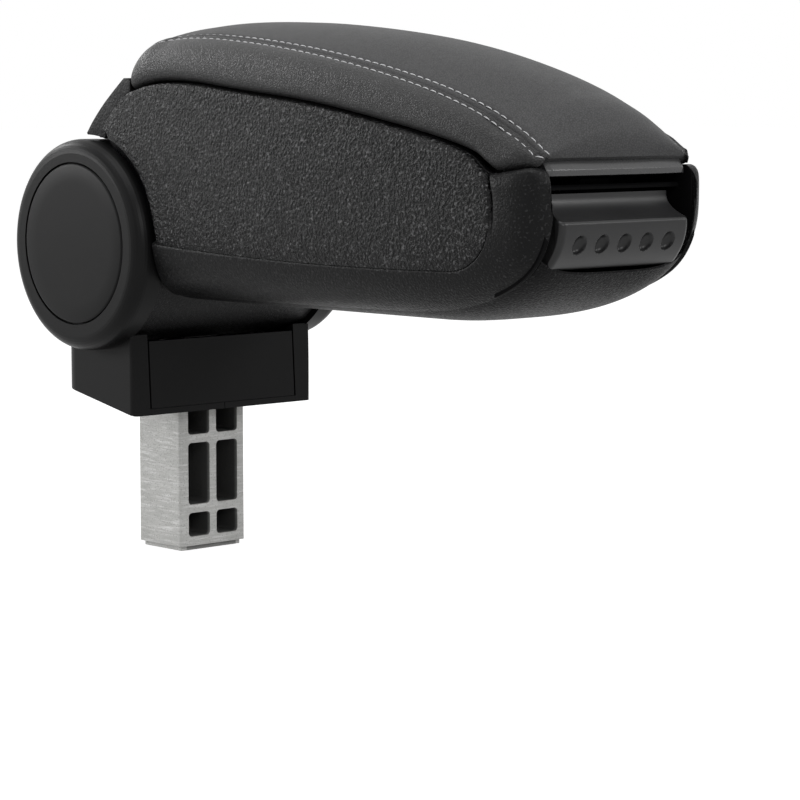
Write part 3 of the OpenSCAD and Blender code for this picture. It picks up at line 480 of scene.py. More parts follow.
def grained_black(name, cell, relief, painted_glint_tone, roughness, specular):
    """Moulded grain: worm-like cells in relief and roughness, and light specks in the colour as painted
    glints.
    """
    s = Surface(name, (0.011, 0.011, 0.0115), roughness, specular=specular)
    grain = s.noise(cell, 2.5, 0.55)
    pits = s.cells(cell * 1.25, "SMOOTH_F1", warp=0.0009)
    tone = s.blend_colour(s.noise(45, 3), (0.0045, 0.0045, 0.0047), (0.007, 0.007, 0.0073))
    # Painted highlight: light specks in the base colour stand for glints of the lamps on the grain.
    painted_glints = s.ramp(s.noise(cell * 0.95, 1.6, 0.5), 0.0, 1.0, 0.59, 0.69)
    s.set("Base Color", s.blend_colour(painted_glints, tone, (painted_glint_tone, painted_glint_tone, painted_glint_tone * 1.02)))
    s.set("Roughness", s.ramp(grain, roughness + 0.12, roughness - 0.06, 0.35, 0.65))
    s.bump(pits, relief, 0.7)
    s.bump(grain, relief * 1.6, 1.0)
    return s.material


def leather(name, dark, light, cell, relief, roughness, specular):
    s = Surface(name, dark, roughness, specular=specular)
    pebble = s.cells(cell, "DISTANCE_TO_EDGE", warp=0.0009)
    crease = s.ramp(pebble, 0.0, 1.0, 0.0, 0.22)
    tone = s.blend_colour(s.noise(35, 4, 0.6), dark, light)
    # Painted shade: the grain's creases are darker in colour.
    painted_crease_shade = tuple(c * 0.6 for c in dark)
    s.set("Base Color", s.blend_colour(crease, painted_crease_shade, tone))
    s.set("Roughness", s.ramp(s.noise(260, 4), roughness - 0.06, roughness + 0.08))
    s.shader.inputs["Sheen Weight"].default_value = 0.02
    s.shader.inputs["Sheen Roughness"].default_value = 0.5
    s.bump(s.noise(22, 2), 0.0007, 0.22)
    s.bump(s.noise(420, 3, 0.5, (1, 1, 0.55)), relief * 2.2, 0.7)
    s.bump(crease, relief, 0.8)
    return s.material


STEM_FRONT_Y = -0.0148
POCKET_HALF = 0.0139


def cast_metal():
    """Raw casting: mottled and scratched, with painted shade that darkens the inside of its pockets."""
    s = Surface("cast_metal", (0.5, 0.5, 0.48), 0.5, metallic=0.35, specular=0.4)
    patches = s.noise(90, 5, 0.65)
    pits = s.cells(900, "F1")
    tone = s.blend_colour(patches, (0.33, 0.33, 0.318), (0.53, 0.53, 0.515))
    scratches = s.ramp(s.noise(60, 4, 0.7, (1, 1, 14)), 0.0, 1.0, 0.5, 0.66)
    scratched = s.blend_colour(scratches, tone, (0.6, 0.6, 0.59))
    pitted = s.blend_colour(s.ramp(pits, 0.0, 1.0, 0.08, 0.35), (0.3, 0.3, 0.29), scratched)
    # Painted shade: the pockets are darkened in colour, and not metallic, where shade falls in them.
    inside = s.pocket_shade_mask(STEM_FRONT_Y, POCKET_HALF)
    s.set("Base Color", s.blend_colour(inside, pitted, (0.08, 0.08, 0.078)))
    s.set("Metallic", s.ramp(inside, 0.35, 0.0))
    s.set("Roughness", s.ramp(s.noise(300, 4), 0.42, 0.62))
    s.bump(s.noise(260, 5, 0.7), 0.0004, 0.6)
    s.bump(s.noise(120, 4, 0.7, (1, 1, 9)), 0.0002, 0.5)
    s.bump(s.noise(1500, 2), 0.0001, 0.6)
    return s.material


def turned_steel():
    s = Surface("turned_steel", (0.55, 0.55, 0.57), 0.3, metallic=1.0)
    s.set("Roughness", s.ramp(s.noise(400, 3, 0.5, (30, 1, 1)), 0.2, 0.42))
    s.bump(s.noise(900, 2, 0.5, (12, 1, 1)), 0.00002, 0.5)
    return s.material


def bearing_plastic():
    s = Surface("bearing_plastic", (0.62, 0.6, 0.52), 0.35)
    s.set("Base Color", s.blend_colour(s.noise(120, 3), (0.58, 0.56, 0.48), (0.68, 0.66, 0.58)))
    s.bump(s.noise(1200, 2), 0.00002, 0.5)
    return s.material


def inner_black():
    s = Surface("inner_black", (0.004, 0.004, 0.0042), 0.6, specular=0.02)
    s.set("Roughness", s.ramp(s.noise(200, 4), 0.52, 0.7))
    s.bump(s.noise(900, 3, 0.6), 0.00008, 0.7)
    return s.material


def sewing_thread():
    s = Surface("sewing_thread", (0.36, 0.36, 0.37), 0.6, specular=0.2)
    s.set("Base Color", s.blend_colour(s.noise(900, 2), (0.4, 0.4, 0.41), (0.62, 0.62, 0.63)))
    s.bump(s.noise(2600, 2), 0.0001, 0.8)
    return s.material


SMOOTH = smooth_black("smooth_black", 0.0045, 0.09, 0.36)
SATIN = smooth_black("satin_black", 0.013, 0.24, 0.3)
# Glossy black for the lip, with a painted highlight: its colour is lighter than the other black plastics to
# stand for the reflection on its upper facet.
GLOSS_AND_PAINTED_HIGHLIGHT = smooth_black("gloss_black_painted_highlight", 0.026, 0.5, 0.26)
GRAIN = grained_black("grained_black", 1050, 0.00016, 0.03, 0.34, 0.09)
UNDERSIDE = grained_black("underside_black", 1050, 0.00016, 0.03, 0.42, 0.04)
COARSE = grained_black("coarse_grain", 800, 0.00046, 0.1, 0.26, 0.11)
LEATHER_TOP = leather(
    "leather_top", (0.058, 0.058, 0.059), (0.066, 0.066, 0.067), 1100, 0.00004, 0.55, 0.12)
LEATHER_SIDE = leather(
    "leather_side", (0.028, 0.028, 0.0284), (0.037, 0.037, 0.0374), 900, 0.00012, 0.36, 0.16)
CAST = cast_metal()
STEEL = turned_steel()
BEARING = bearing_plastic()
INNER = inner_black()
THREAD = sewing_thread()

SLOT_MATERIALS = {
    "cast_metal": CAST, "smooth_black": SMOOTH, "grained_black": GRAIN, "coarse_grain": COARSE,
    "leather": LEATHER_SIDE, "inner_black": INNER, "bright_steel": STEEL, "bearing": BEARING,
}
for part in frame["record"]["subparts"]:
    cad = nodes[part["node"]]
    cad.data.materials.clear()
    cad.data.materials.append(SLOT_MATERIALS[part["material_slot"]])


# Side mouldings
BAND_LIP = 0.9
TOP_ROUND = 0.5
WING_ROUND = 1.8
WING_EDGE = 0.9
WING_EDGE_RUN = 1.3
WING_START = PANEL_TIP + 0.8
WING_WALL_START = ARM_LENGTH - 28
WING_WALL_END = TIP - 1.4
WING_WALL = 2.2
LOWER_ROWS = 36
INNER_ROWS = 8
PANEL_FIT = 0.2
PANEL_FALL = 1.5
PANEL_FALL_RUN = 2.2

# Stations along the side, close together at the panel's front corner and at the nose
CORNER_RUN = 9
LONG = [PANEL_ARC + (PANEL_TIP - CORNER_RUN - PANEL_ARC) * i / 70 for i in range(70)]
LONG += [PANEL_TIP - CORNER_RUN * (1 - k / 24) ** 1.8 for k in range(25)]
NOSE = [WING_START + d for d in (0, 0.2, 0.5, 0.9)]
NOSE += [WING_START + (TIP - WING_START) * math.sin(math.radians(90 * k / 22)) for k in range(2, 23)]


def shell_section(s, recessed):
    """Closed outline of a side moulding at s, from the seam under the belly."""
    top = top_at(s, ARM_ARC) if recessed else wing_top(s)
    edge = groove_z(s) - GAP if recessed else PANEL_CORNER_Z
    a = turn_at_x(s, BELLY_HALF, 0)
    b = turn_at_z(s, edge)
    foot = lower_point(s, a, 0)
    lip = BAND_LIP if recessed else 0.0
    sunk = 0.0 if recessed else WING_EDGE * clamp(1 - (s - WING_START) / WING_EDGE_RUN) ** 2
    floor = PANEL_WALL + GAP if recessed else sunk
    crest = TOP_ROUND if recessed else WING_ROUND
    ring = [(foot[0] - 0.1, s, foot[2] + BAND_WALL), (foot[0] - 0.1, s, foot[2] + 0.7),
            (foot[0] + 0.25, s, foot[2] + 0.12)]
    for k in range(1, LOWER_ROWS + 1):
        ring.append(lower_point(s, a + (b - a) * k / LOWER_ROWS, sunk * smooth((k - LOWER_ROWS + 6) / 6)))

    def add(z, depth):
        x, back, height = leaning_point(s, z, depth)
        ring.append((x, s - back, height))

    for turn in (30, 60, 90):
        t = math.radians(turn)
        add(edge + lip * math.sin(t), sunk + lip * (1 - math.cos(t)))
    add(edge + lip, floor)
    for z in heights(edge + lip, top - crest, 14, 8):
        add(z, floor)
    for turn in (25, 50, 75, 90):
        t = math.radians(turn)
        add(top - crest * (1 - math.sin(t)), floor + crest * (1 - math.cos(t)))
    for k in range(INNER_ROWS + 1):
        z = top + (foot[2] + BAND_WALL - top) * k / INNER_ROWS
        x, back, height = leaning_point(s, max(z, belly_z(s) + BAND_WALL + 0.5), BAND_WALL)
        ring.append((max(x, foot[0] + 0.2), s - back, height))
    return ring


def side_shell(side):
    """Side moulding with the panel's recess and the front wing, and the wing's inner wall."""
    recess = [ARM_ARC] + LONG + [PANEL_TIP + 0.4]
    rings = [[bend(p, ARM_ARC) for p in shell_section(s, True)] for s in recess]
    rings += [shell_section(s, False) for s in NOSE]
    piece = loft(side + "_shell_skin", rings, GRAIN, "arm", mirror=side == "left")
    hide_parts(side + "_side_shell")
    stations = [s for s in LONG + NOSE if WING_WALL_START < s < WING_WALL_END]
    upper = [(s, wing_top(s) - 0.5) for s in stations]
    under = [(s, lower_point(s, turn_at_x(s, BELLY_HALF, 0), 0)[2] + 0.3) for s in reversed(stations)]
    sign = -1 if side == "left" else 1
    x0, x1 = sorted((sign * BELLY_HALF, sign * (BELLY_HALF + WING_WALL)))
    extrude(side + "_wing_wall", upper + under, x0, x1, INNER, "arm", edge=0.2)


def panel_section(s):
    """Side panel at s: rounded lower and upper edges, falling into the recess at its front."""
    low, high = groove_z(s) + PANEL_FIT, top_at(s, PANEL_ARC) - PANEL_FIT
    outline = [(low + 1.2, PANEL_WALL), (low + 0.3, PANEL_WALL * 0.7), (low, 1.0),
               (low + 0.15, 0.45), (low + 0.5, 0.13)]
    outline += [(z, 0.0) for z in heights(low + 1.1, high - 1.6, 18, 10)]
    outline += [(high - 0.9, 0.14), (high - 0.4, 0.42), (high - 0.1, 0.9), (high, 1.6), (high, PANEL_WALL)]
    fall = PANEL_FALL * round_in(s, PANEL_TIP - PANEL_FALL_RUN, PANEL_FALL_RUN)
    outline = [(z, min(PANEL_WALL, depth + fall)) for z, depth in outline]
    ring = []
    for z, depth in outline:
        x, back, height = leaning_point(s, z, depth)
        ring.append((x, bent_s(s, height, PANEL_ARC) - back, height))
    return ring


def side_panel(side):
    rings = [panel_section(s) for s in LONG]

    def shifted(ring, inward, forward):
        return [(x - inward, s + forward, z) for x, s, z in ring]

    first, last = rings[0], rings[-1]
    rear_edge = [shifted(first, 0.9, 0.35), shifted(first, 0.25, 0.05), shifted(first, 0, 0.5)]
    front_edge = [shifted(last, 0.3, 0.1), shifted(last, 1.2, 0.12)]
    rings = rear_edge + rings[1:] + front_edge
    piece = loft(side + "_panel_skin", rings, COARSE, "arm", mirror=side == "left")
    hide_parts(side + "_side_panel")


for side in ("left", "right"):
    side_shell(side)
    side_panel(side)


# Belly and drum
BELLY_START = DRUM_RADIUS - 7
BELLY_END = ARM_LENGTH - 6.4
BELLY_ROWS = 24
BELLY_STATIONS = 90
DRUM_WALL = 3
DRUM_BORE = 20
DRUM_EDGE = 0.7
SLOT_HALF = 10.5
SLOT_END = -60


def belly_section(s):
    """Belly at s; its step and its wall get smaller towards the nose."""
    step = BELLY_STEP * (1 - 0.7 * smooth((s - 190) / 50))
    wall = BELLY_WALL - 2.2 * smooth((s - ARM_LENGTH + 16) / 6)
    a = turn_at_x(s, BELLY_HALF - GAP, step)
    right = []
    for k in range(BELLY_ROWS + 1):
        t = (k / BELLY_ROWS) ** 0.8
        p = lower_point(s, a + (90 - a) * t, step * (1 - t) ** 1.5)
        right.append((p[0], p[2]))
    outer = [(-x, z) for x, z in right[:-1]] + right[::-1]
    inner = [(x, z + wall) for x, z in reversed(outer)]
    return [(x, s, z) for x, z in outer + inner]


def belly_skin():
    run = BELLY_END - BELLY_START
    stations = [BELLY_START + run * (1 - (1 - k / BELLY_STATIONS) ** 1.6) for k in range(BELLY_STATIONS + 1)]
    belly = loft("belly_skin", [belly_section(s) for s in stations], UNDERSIDE, "arm")
    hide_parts("belly_shell")


def cut_box(piece, x0, x1, s0, s1, z0, z1):
    """Cuts a box out of a piece and applies the cut."""
    mesh = bpy.data.meshes.new("cutter")
    corners = [place(x, s, z) for x in (x0, x1) for s in (s0, s1) for z in (z0, z1)]
    faces = [(0, 1, 3, 2), (4, 6, 7, 5), (0, 4, 5, 1), (2, 3, 7, 6), (0, 2, 6, 4), (1, 5, 7, 3)]
    mesh.from_pydata(corners, [], faces)
    cutter = bpy.data.objects.new("cutter", mesh)
    bpy.context.scene.collection.objects.link(cutter)
    modifier = piece.modifiers.new("cut", "BOOLEAN")
    modifier.operation = "DIFFERENCE"
    modifier.solver = "EXACT"
    modifier.object = cutter
    bpy.context.view_layer.objects.active = piece
    bpy.context.view_layer.update()
    with bpy.context.temp_override(object=piece, active_object=piece):
        bpy.ops.object.modifier_apply(modifier="cut")
    bpy.data.objects.remove(cutter)


def drum_skin():
    """Hollow barrel with the slot that the casting's neck passes through."""
    inner = DRUM_RADIUS - DRUM_WALL
    profile = fillet(
        [(DRUM_BORE, DRUM_X), (DRUM_RADIUS, DRUM_X), (DRUM_RADIUS, -DRUM_X), (DRUM_BORE, -DRUM_X)],
        [0, DRUM_EDGE, DRUM_EDGE, 0])
    profile += [(DRUM_BORE, -DRUM_X + DRUM_WALL), (inner, -DRUM_X + DRUM_WALL),
                (inner, DRUM_X - DRUM_WALL), (DRUM_BORE, DRUM_X - DRUM_WALL)]
    drum = lathe("drum_skin", profile, GRAIN, "arm", steps=224)
    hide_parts("pivot_drum")
    cut_box(drum, -SLOT_HALF, SLOT_HALF, SLOT_END, SLOT_HALF, SLOT_END, SLOT_HALF)


belly_skin()
drum_skin()


# Pad
ROLL_START = ARM_LENGTH - 7.5
PAD_ROLL = 4.2
PAD_REST = HINGE_Z + KNUCKLE_RADIUS
PAD_END_DROP = 8.4
PAD_END_RUN = 11
PAD_CORNER_START = PAD_FRONT - 21
PAD_CORNER_RUN = 22
PAD_FACE_MIDDLE = 36
SEAM_FLARE = 5
SEAM_FLARE_START = 47
SEAM_FLARE_RUN = 16
# Stitch rows inside and outside the seam
ROW_OFFSETS = (-2.6, 2.4)
# Share of the side's height that rises evenly, so that the seam stays in sight from the side
SIDE_PITCH = 0.22
LIP_TOP = 39.3
# The pad's underside lies lower than this, and keeps the side leather
LEATHER_TOP_Z = 36
ROLL_TURNS = (-90, -72, -54, -36, -18)
# Columns of the side leather, as shares of the way out from the seam
SIDE_SHARES = ([math.cos(math.radians(6 * k)) for k in range(11)] + [0.43, 0.36]
               + [0.3 - 0.025 * k for k in range(13)])
# Columns of the top leather beside the seam, as distances in millimetres
TOP_STEPS = [0.35 * k for k in range(1, 13)]
TOP_COLUMNS = 18


def pad_end(s):
    """Rounding of the pad's rear end: 1 at its rear edge, 0 in front of it."""
    return round_in(PAD_REAR + PAD_END_RUN - s, 0, PAD_END_RUN)


def pad_half(s):
    corner = 7 * round_in(s, PAD_CORNER_START, PAD_CORNER_RUN)
    return half_width(s) - 2 - 1.8 * pad_end(s) - corner


def seam_x(s):
    """Distance of the seam from the centre line; it runs outward at the rear."""
    flare = SEAM_FLARE * smooth((SEAM_FLARE_START - s) / SEAM_FLARE_RUN)
    return min(SEAM_X + flare, pad_half(s) - 2.2)


def pad_low(s):
    """Lower edge of the pad's side."""
    return lid_z(s) + 0.3


def pad_middle_low(s):
    """Underside of the pad between its sides, raised over the hinge at the rear."""
    return pad_low(s) + (PAD_REST - pad_low(s)) * smooth((HINGE_S + 2.9 - s) / 0.9)


def seam_relief(d, s):
    """Depth of the sewn seam d millimetres outside it: crease, welts and pulled stitch rows."""
    crease = 0.5 * math.exp(-((d / 0.38) ** 2))
    rows = 0.32 * sum(math.exp(-(((d - row) / 0.75) ** 2)) for row in ROW_OFFSETS)
    welts = 0.3 * (math.exp(-(((d - 1.1) / 0.6) ** 2)) + math.exp(-(((d + 1.2) / 0.6) ** 2)))
    return (crease + rows - welts) * (1 + 1.1 * smooth((s - 190) / 55))


def pad_outline(s):
    """Half section of the pad at s from the lower edge to the centre, as (x, z)."""
    w, low = pad_half(s), pad_low(s)
    drop = PAD_END_DROP * pad_end(s)
    top = crown_z(s) - drop
    sx = seam_x(s)
    sz = max(low + 1, seam_z(s) - drop)
    roll = min(PAD_ROLL, 0.4 * (sz - low))
    middle = min(40.2, w - roll - 2.5)
    points = [(middle, pad_middle_low(s)), (middle, low), (w - roll - 2, low)]
    for turn in ROLL_TURNS:
        a = math.radians(turn)
        points.append((w - roll + roll * math.cos(a), low + roll + roll * math.sin(a)))
    for share in SIDE_SHARES:
        a = math.acos(share)
        puff = 0.8 * math.sin(2 * a) * math.sin(a) * smooth((s - 60) / 70)
        lift = math.sin(a) * (1 - SIDE_PITCH) + (1 - share) * SIDE_PITCH
        x = sx + (w - sx) * share + puff * 0.3
        points.append((x, low + roll + (sz - low - roll) * lift + puff))
    inner = sx - TOP_STEPS[-1]
    columns = [inner * (1 - k / TOP_COLUMNS) for k in range(1, TOP_COLUMNS + 1)]
    for x in [sx - d for d in TOP_STEPS] + columns:
        points.append((x, top - (top - sz) * (x / sx) ** 2.2))
    return [(x, z - seam_relief(x - sx, s)) for x, z in points]


def pad_surface(s, index, side):
    """Pad point in column index; stations beyond ROLL_START go down the front face."""
    if s <= ROLL_START:
        x, z = pad_outline(s)[index]
        return Vector((side * x, s, z))
    start = pad_outline(ROLL_START)[index]
    before = pad_outline(ROLL_START - 1)[index]
    slope = Vector((start[0] - before[0], 1, start[1] - before[1]))
    lowest = LIP_TOP + 0.3
    end_x = min(start[0], PAD_FACE_MIDDLE + (start[0] - PAD_FACE_MIDDLE) * 0.5)
    bulge = 1.3 * (1 - (start[0] / 50) ** 2)
    a = Vector((start[0], ROLL_START, start[1]))
    d = Vector((end_x, PAD_FRONT + bulge - 1.3, lowest))
    b = a + slope * 3.0
    rise = max(0.0, start[1] - lowest)
    c = d + Vector((0, 0.7, rise * 0.55))
    t = clamp((s - ROLL_START) / (PAD_FRONT - ROLL_START))
    p = a * (1 - t) ** 3 + b * 3 * t * (1 - t) ** 2 + c * 3 * t * t * (1 - t) + d * t**3
    return Vector((side * p.x, p.y, p.z))


def pad_wrinkle(p):
    """Small folds of the leather near the front corners, in millimetres."""
    near = math.exp(-(((abs(p.x) - 44) / 9) ** 2) - (((p.y - 236) / 16) ** 2))
    wave = noise.noise(Vector((p.x * 0.16, p.y * 0.05, p.z * 0.28)) + Vector((3.1, 0.7, 5.2)))
    slow = noise.noise(Vector((p.x * 0.03, p.y * 0.024, 1.7)))
    return near * wave * 0.8 + 0.3 * slow


REAR_REACH = PAD_REAR + 18
PAD_ROWS = [PAD_REAR + (REAR_REACH - PAD_REAR) * (1 - math.cos(math.radians(90 * k / 26))) for k in range(27)]
PAD_ROWS += [REAR_REACH + (ROLL_START - REAR_REACH) * k / 110 for k in range(1, 111)]
PAD_ROWS += [ROLL_START + (PAD_FRONT - ROLL_START) * k / 22 for k in range(1, 23)]
HALF_COUNT = len(pad_outline(PAD_ROWS[-1]))


def pad_ring(s):
    left = [pad_surface(s, i, -1) for i in range(HALF_COUNT)]
    right = [pad_surface(s, i, 1) for i in range(HALF_COUNT - 2, -1, -1)]
    ring = []
    for p in left + right:
        lift = pad_wrinkle(p) * clamp((p.z - pad_low(min(s, PAD_FRONT))) / 6)
        ring.append((p.x, p.y, p.z + lift))
    return ring


def pad_leather():
    """Padded lid: grained leather on its sides, smoother leather between the seams."""
    rings = [pad_ring(s) for s in PAD_ROWS]
    pad = loft("pad_leather", rings, LEATHER_SIDE, "lid", angle=50)
    pad.data.materials.append(LEATHER_TOP)
    for face in pad.data.polygons:
        c = face.center
        between_seams = abs(c.x) / MM < seam_x(PIVOT_SETBACK - c.y / MM)
        if between_seams and c.z / MM - PIVOT_HEIGHT > LEATHER_TOP_Z:
            face.material_index = 1
    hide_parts("lid_pad")


pad_leather()


# Stitches
STITCH_PITCH = 4.3
STITCH_LENGTH = 3.0
THREAD_RADIUS = 0.28
PATH_STEPS = 1400


def column_at(x, s):
    """Fractional column of the pad's outline at distance x from the centre line."""
    outline = pad_outline(min(s, ROLL_START))
    for i in range(len(ROLL_TURNS) + 3, len(outline) - 1):
        if outline[i][0] >= x >= outline[i + 1][0]:
            return i, (outline[i][0] - x) / (outline[i][0] - outline[i + 1][0])
    return len(outline) - 2, 1.0


def on_pad(x, s, side):
    i, f = column_at(x, s)
    return pad_surface(s, i, side).lerp(pad_surface(s, i + 1, side), f)


def stitch_line(bm, offset, side):
    """Adds one row of stitches at an offset from a seam."""
    start, run = PAD_REAR + 0.8, PAD_FRONT - 1.0 - PAD_REAR
    steps = [start + run * (k / PATH_STEPS) ** 1.15 for k in range(PATH_STEPS + 1)]
    path = [on_pad(seam_x(min(s, ROLL_START)) + offset, s, side) for s in steps]
    walked, next_start, current = 0.0, 1.0, None
    for a, b in zip(path, path[1:]):
        walked += (b - a).length
        if current is None and walked >= next_start:
            current = a
        elif current is not None and walked >= next_start + STITCH_LENGTH:
            add_stitch(bm, current, b)
            current, next_start = None, next_start + STITCH_PITCH


def add_stitch(bm, a, b):
    """Thread between two needle holes: a short bowed capsule lying on the leather."""
    along = (b - a).normalized()
    across = Vector((1, 0, 0))
    up = across.cross(along).normalized()
    if up.z < 0:
        up = -up
    rings = []
    for k in range(9):
        t = k / 8
        swell = math.sin(math.pi * clamp(t, 0.02, 0.98)) ** 0.3
        centre = a.lerp(b, t) + up * (0.2 * min(1.0, 6 * t * (1 - t)) - 0.06)
        ring = []
        for j in range(8):
            w = 2 * math.pi * j / 8
            q = centre + (across * math.cos(w) + up * math.sin(w)) * THREAD_RADIUS * swell
            ring.append(bm.verts.new(place(q.x, q.y, q.z)))
        rings.append(ring)
    for r0, r1 in zip(rings, rings[1:]):
        for j in range(8):
            bm.faces.new((r0[j], r0[(j + 1) % 8], r1[(j + 1) % 8], r1[j]))
    bm.faces.new(rings[0][::-1])
    bm.faces.new(rings[-1])


def stitches():
    bm = bmesh.new()
    for side in (-1, 1):
        for offset in ROW_OFFSETS:
            stitch_line(bm, offset, side)
    mesh = bpy.data.meshes.new("stitches")
    bm.to_mesh(mesh)
    bm.free()
    finish_mesh("stitches", mesh, THREAD, "lid", angle=60)


stitches()


# Caps
CAP_DROP = 0.5
CAP_THICK = 2.5


def cap(side):
    flat = EAR_OUTER_X
    profile = [(0, flat - CAP_THICK), (CAP_RADIUS, flat - CAP_THICK), (CAP_RADIUS, flat - 0.9),
               (CAP_RADIUS - 0.12, flat - 0.45), (CAP_RADIUS - 0.5, flat - 0.12), (CAP_RADIUS - 1.1, flat),
               (CAP_RADIUS - 8, flat), (0, flat)]
    piece = lathe(side + "_cap_skin", profile, SMOOTH, "base", steps=256,
                  mirror=side == "left", drop=CAP_DROP)
    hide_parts(side + "_cap")


for side in ("left", "right"):
    cap(side)


# Rear cover, between the pad and the drum, with the fixed hinge knuckles
COVER_HALF = ARM_HALF_WIDTH - 3.4
COVER_SIDE = 47.0
COVER_EDGE = 0.4
COVER_TOP_Z = COVER_LINE[-1][0]
COVER_SIDE_TOP_Z = 69.6
COVER_CLEARANCE = 0.6
KNUCKLES = [(-38.0, -24.0), (-7.0, 7.0), (24.0, 38.0)]


def cover_outline(last_s, radius, highest):
    """Outline of the cover as (s, z), clear of a drum or ear of this radius."""
    turns = [math.radians(a) for a in (0, 5, 10, 15.6)]
    low_edge = [(radius * math.sin(a), radius * math.cos(a)) for a in turns]
    levels = [COVER_TOP_Z - 0.85 * k for k in range(33)]
    back = [(curve(COVER_LINE, z), z) for z in levels if z <= highest]
    seam_low_z = COVER_SEAM[0][0]
    levels = [seam_low_z + (SEAM_HIGH_Z - seam_low_z) * k / 24 for k in range(25)]
    seam = [(curve(COVER_SEAM, z) - GAP, z) for z in levels]
    outline = back + low_edge + seam + [(HINGE_S + 1.8, 67.5)]
    kept = [p for p in outline if p[0] < last_s]
    if len(kept) == len(outline):
        return outline
    high = max(z for s, z in back if s < last_s)
    low = max(z for s, z in seam if s < last_s)
    return [(last_s, high)] + kept + [(last_s, low)]


def rear_cover():
    """Cover with its two lower sides, which leave room for the opening pad, and its knuckles."""
    side = cover_outline(PAD_REAR - 0.5, EAR_RADIUS + COVER_CLEARANCE, COVER_SIDE_TOP_Z)
    middle = cover_outline(HINGE_S - KNUCKLE_RADIUS - GAP, DRUM_RADIUS + COVER_CLEARANCE, COVER_TOP_Z)
    for name, x0, x1, outline, edge in (
            ("left_cover_skin", -COVER_HALF, -COVER_SIDE + 0.4, side, COVER_EDGE),
            ("right_cover_skin", COVER_SIDE - 0.4, COVER_HALF, side, COVER_EDGE),
            ("cover_skin", -COVER_SIDE, COVER_SIDE, middle, 0.2)):
        piece = extrude(name, outline, x0, x1, GRAIN, "arm", edge=edge, angle=60)
        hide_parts("rear_cover")
    web = [(HINGE_S, HINGE_Z - KNUCKLE_RADIUS), (HINGE_S - KNUCKLE_RADIUS + 0.4, HINGE_Z - 1.4),
           (HINGE_S - 5.6, HINGE_Z - 5), (HINGE_S - 3, HINGE_Z - 6.5)]
    barrel = circle(HINGE_S, HINGE_Z, KNUCKLE_RADIUS)
    for i, (x0, x1) in enumerate(KNUCKLES):
        extrude(f"fixed_knuckle_{i}", barrel, x0, x1, GRAIN, "arm", edge=0.3)
        extrude(f"knuckle_web_{i}", web, x0 + 0.1, x1 - 0.1, GRAIN, "arm", edge=0.2)


rear_cover()


# Lip under the pad
LIP_FRONT = ARM_LENGTH - 3
LIP_LOW = 32.9
LIP_HALF = 37.5


def lip():
    profile = fillet(
        [(LIP_FRONT - 6.4, LIP_LOW), (LIP_FRONT, LIP_LOW), (LIP_FRONT - 0.2, LIP_LOW + 2.3),
         (LIP_FRONT - 3.0, LIP_TOP), (LIP_FRONT - 6.4, LIP_TOP)], [0, 0.5, 0.7, 0.5, 0])
    rings = []
    for k in range(61):
        u = -1 + k / 30
        end = clamp((abs(u) * LIP_HALF - LIP_HALF + 1.6) / 1.6)
        bow = 0.8 * max(0.0, abs(u) - 0.5) ** 2 / 0.25 + 1.5 * (1 - math.sqrt(1 - min(0.96, end) ** 2))
        rings.append([(u * LIP_HALF, s - bow if s > LIP_FRONT - 6 else s, z) for s, z in profile])
    # The lip's lighter colour is a painted highlight.
    piece = loft("lip_skin", rings, GLOSS_AND_PAINTED_HIGHLIGHT, "lid")
    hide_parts("lid_lip")


lip()


# Press paddle and its catch
PADDLE_HALF = 35.2
PADDLE_BACK = ARM_LENGTH - 11.2
PADDLE_BOTTOM = -1.6
PADDLE_SHELF = 2.1
PADDLE_EDGE = 16.4
PADDLE_ROUND = 1.4
SCOOP_TOP = 26.2
SCOOP_HALF = PADDLE_HALF - 2.5
DIMPLES = range(-2, 3)
DIMPLE_Z = 7.6
DIMPLE_PITCH = 12.15
DIMPLE_RADIUS = 3.5
DIMPLE_RISE = 0.3
LATCH_S = ARM_LENGTH - 17.5
LATCH_Z = -1.5
LATCH_BARREL = 2.8
LUG_INNER = 28.6
CATCH_HALF = 13
CATCH_TOP = 27.4


def paddle_front(z):
    bow_top = PADDLE_EDGE - PADDLE_ROUND
    bow = 7.6 * clamp((bow_top - z) / (bow_top - PADDLE_BOTTOM)) ** 2.2
    return ARM_LENGTH + 0.7 - bow - 0.8 * clamp((z - bow_top) / PADDLE_ROUND) ** 2


def scoop_front(z):
    return ARM_LENGTH - 8.8 + 8.4 * clamp((SCOOP_TOP - z) / (SCOOP_TOP - PADDLE_EDGE)) ** 2.4


def paddle_half(z):
    """Half width at height z: full below the edge, flaring in the hollow sweep above it."""
    if z <= PADDLE_EDGE:
        return PADDLE_HALF
    return SCOOP_HALF + (PADDLE_HALF - SCOOP_HALF) * (1 - (z - PADDLE_EDGE) / (SCOOP_TOP - PADDLE_EDGE)) ** 4


def dimple_depth(x, z):
    """Depth of the row of round dimples at x, z."""
    depth = 0.0
    for i in DIMPLES:
        reach = math.hypot(x - i * DIMPLE_PITCH, z - DIMPLE_Z)
        if reach < DIMPLE_RADIUS:
            depth = max(depth, math.sqrt(DIMPLE_RADIUS**2 - reach**2) - DIMPLE_RISE)
    return depth


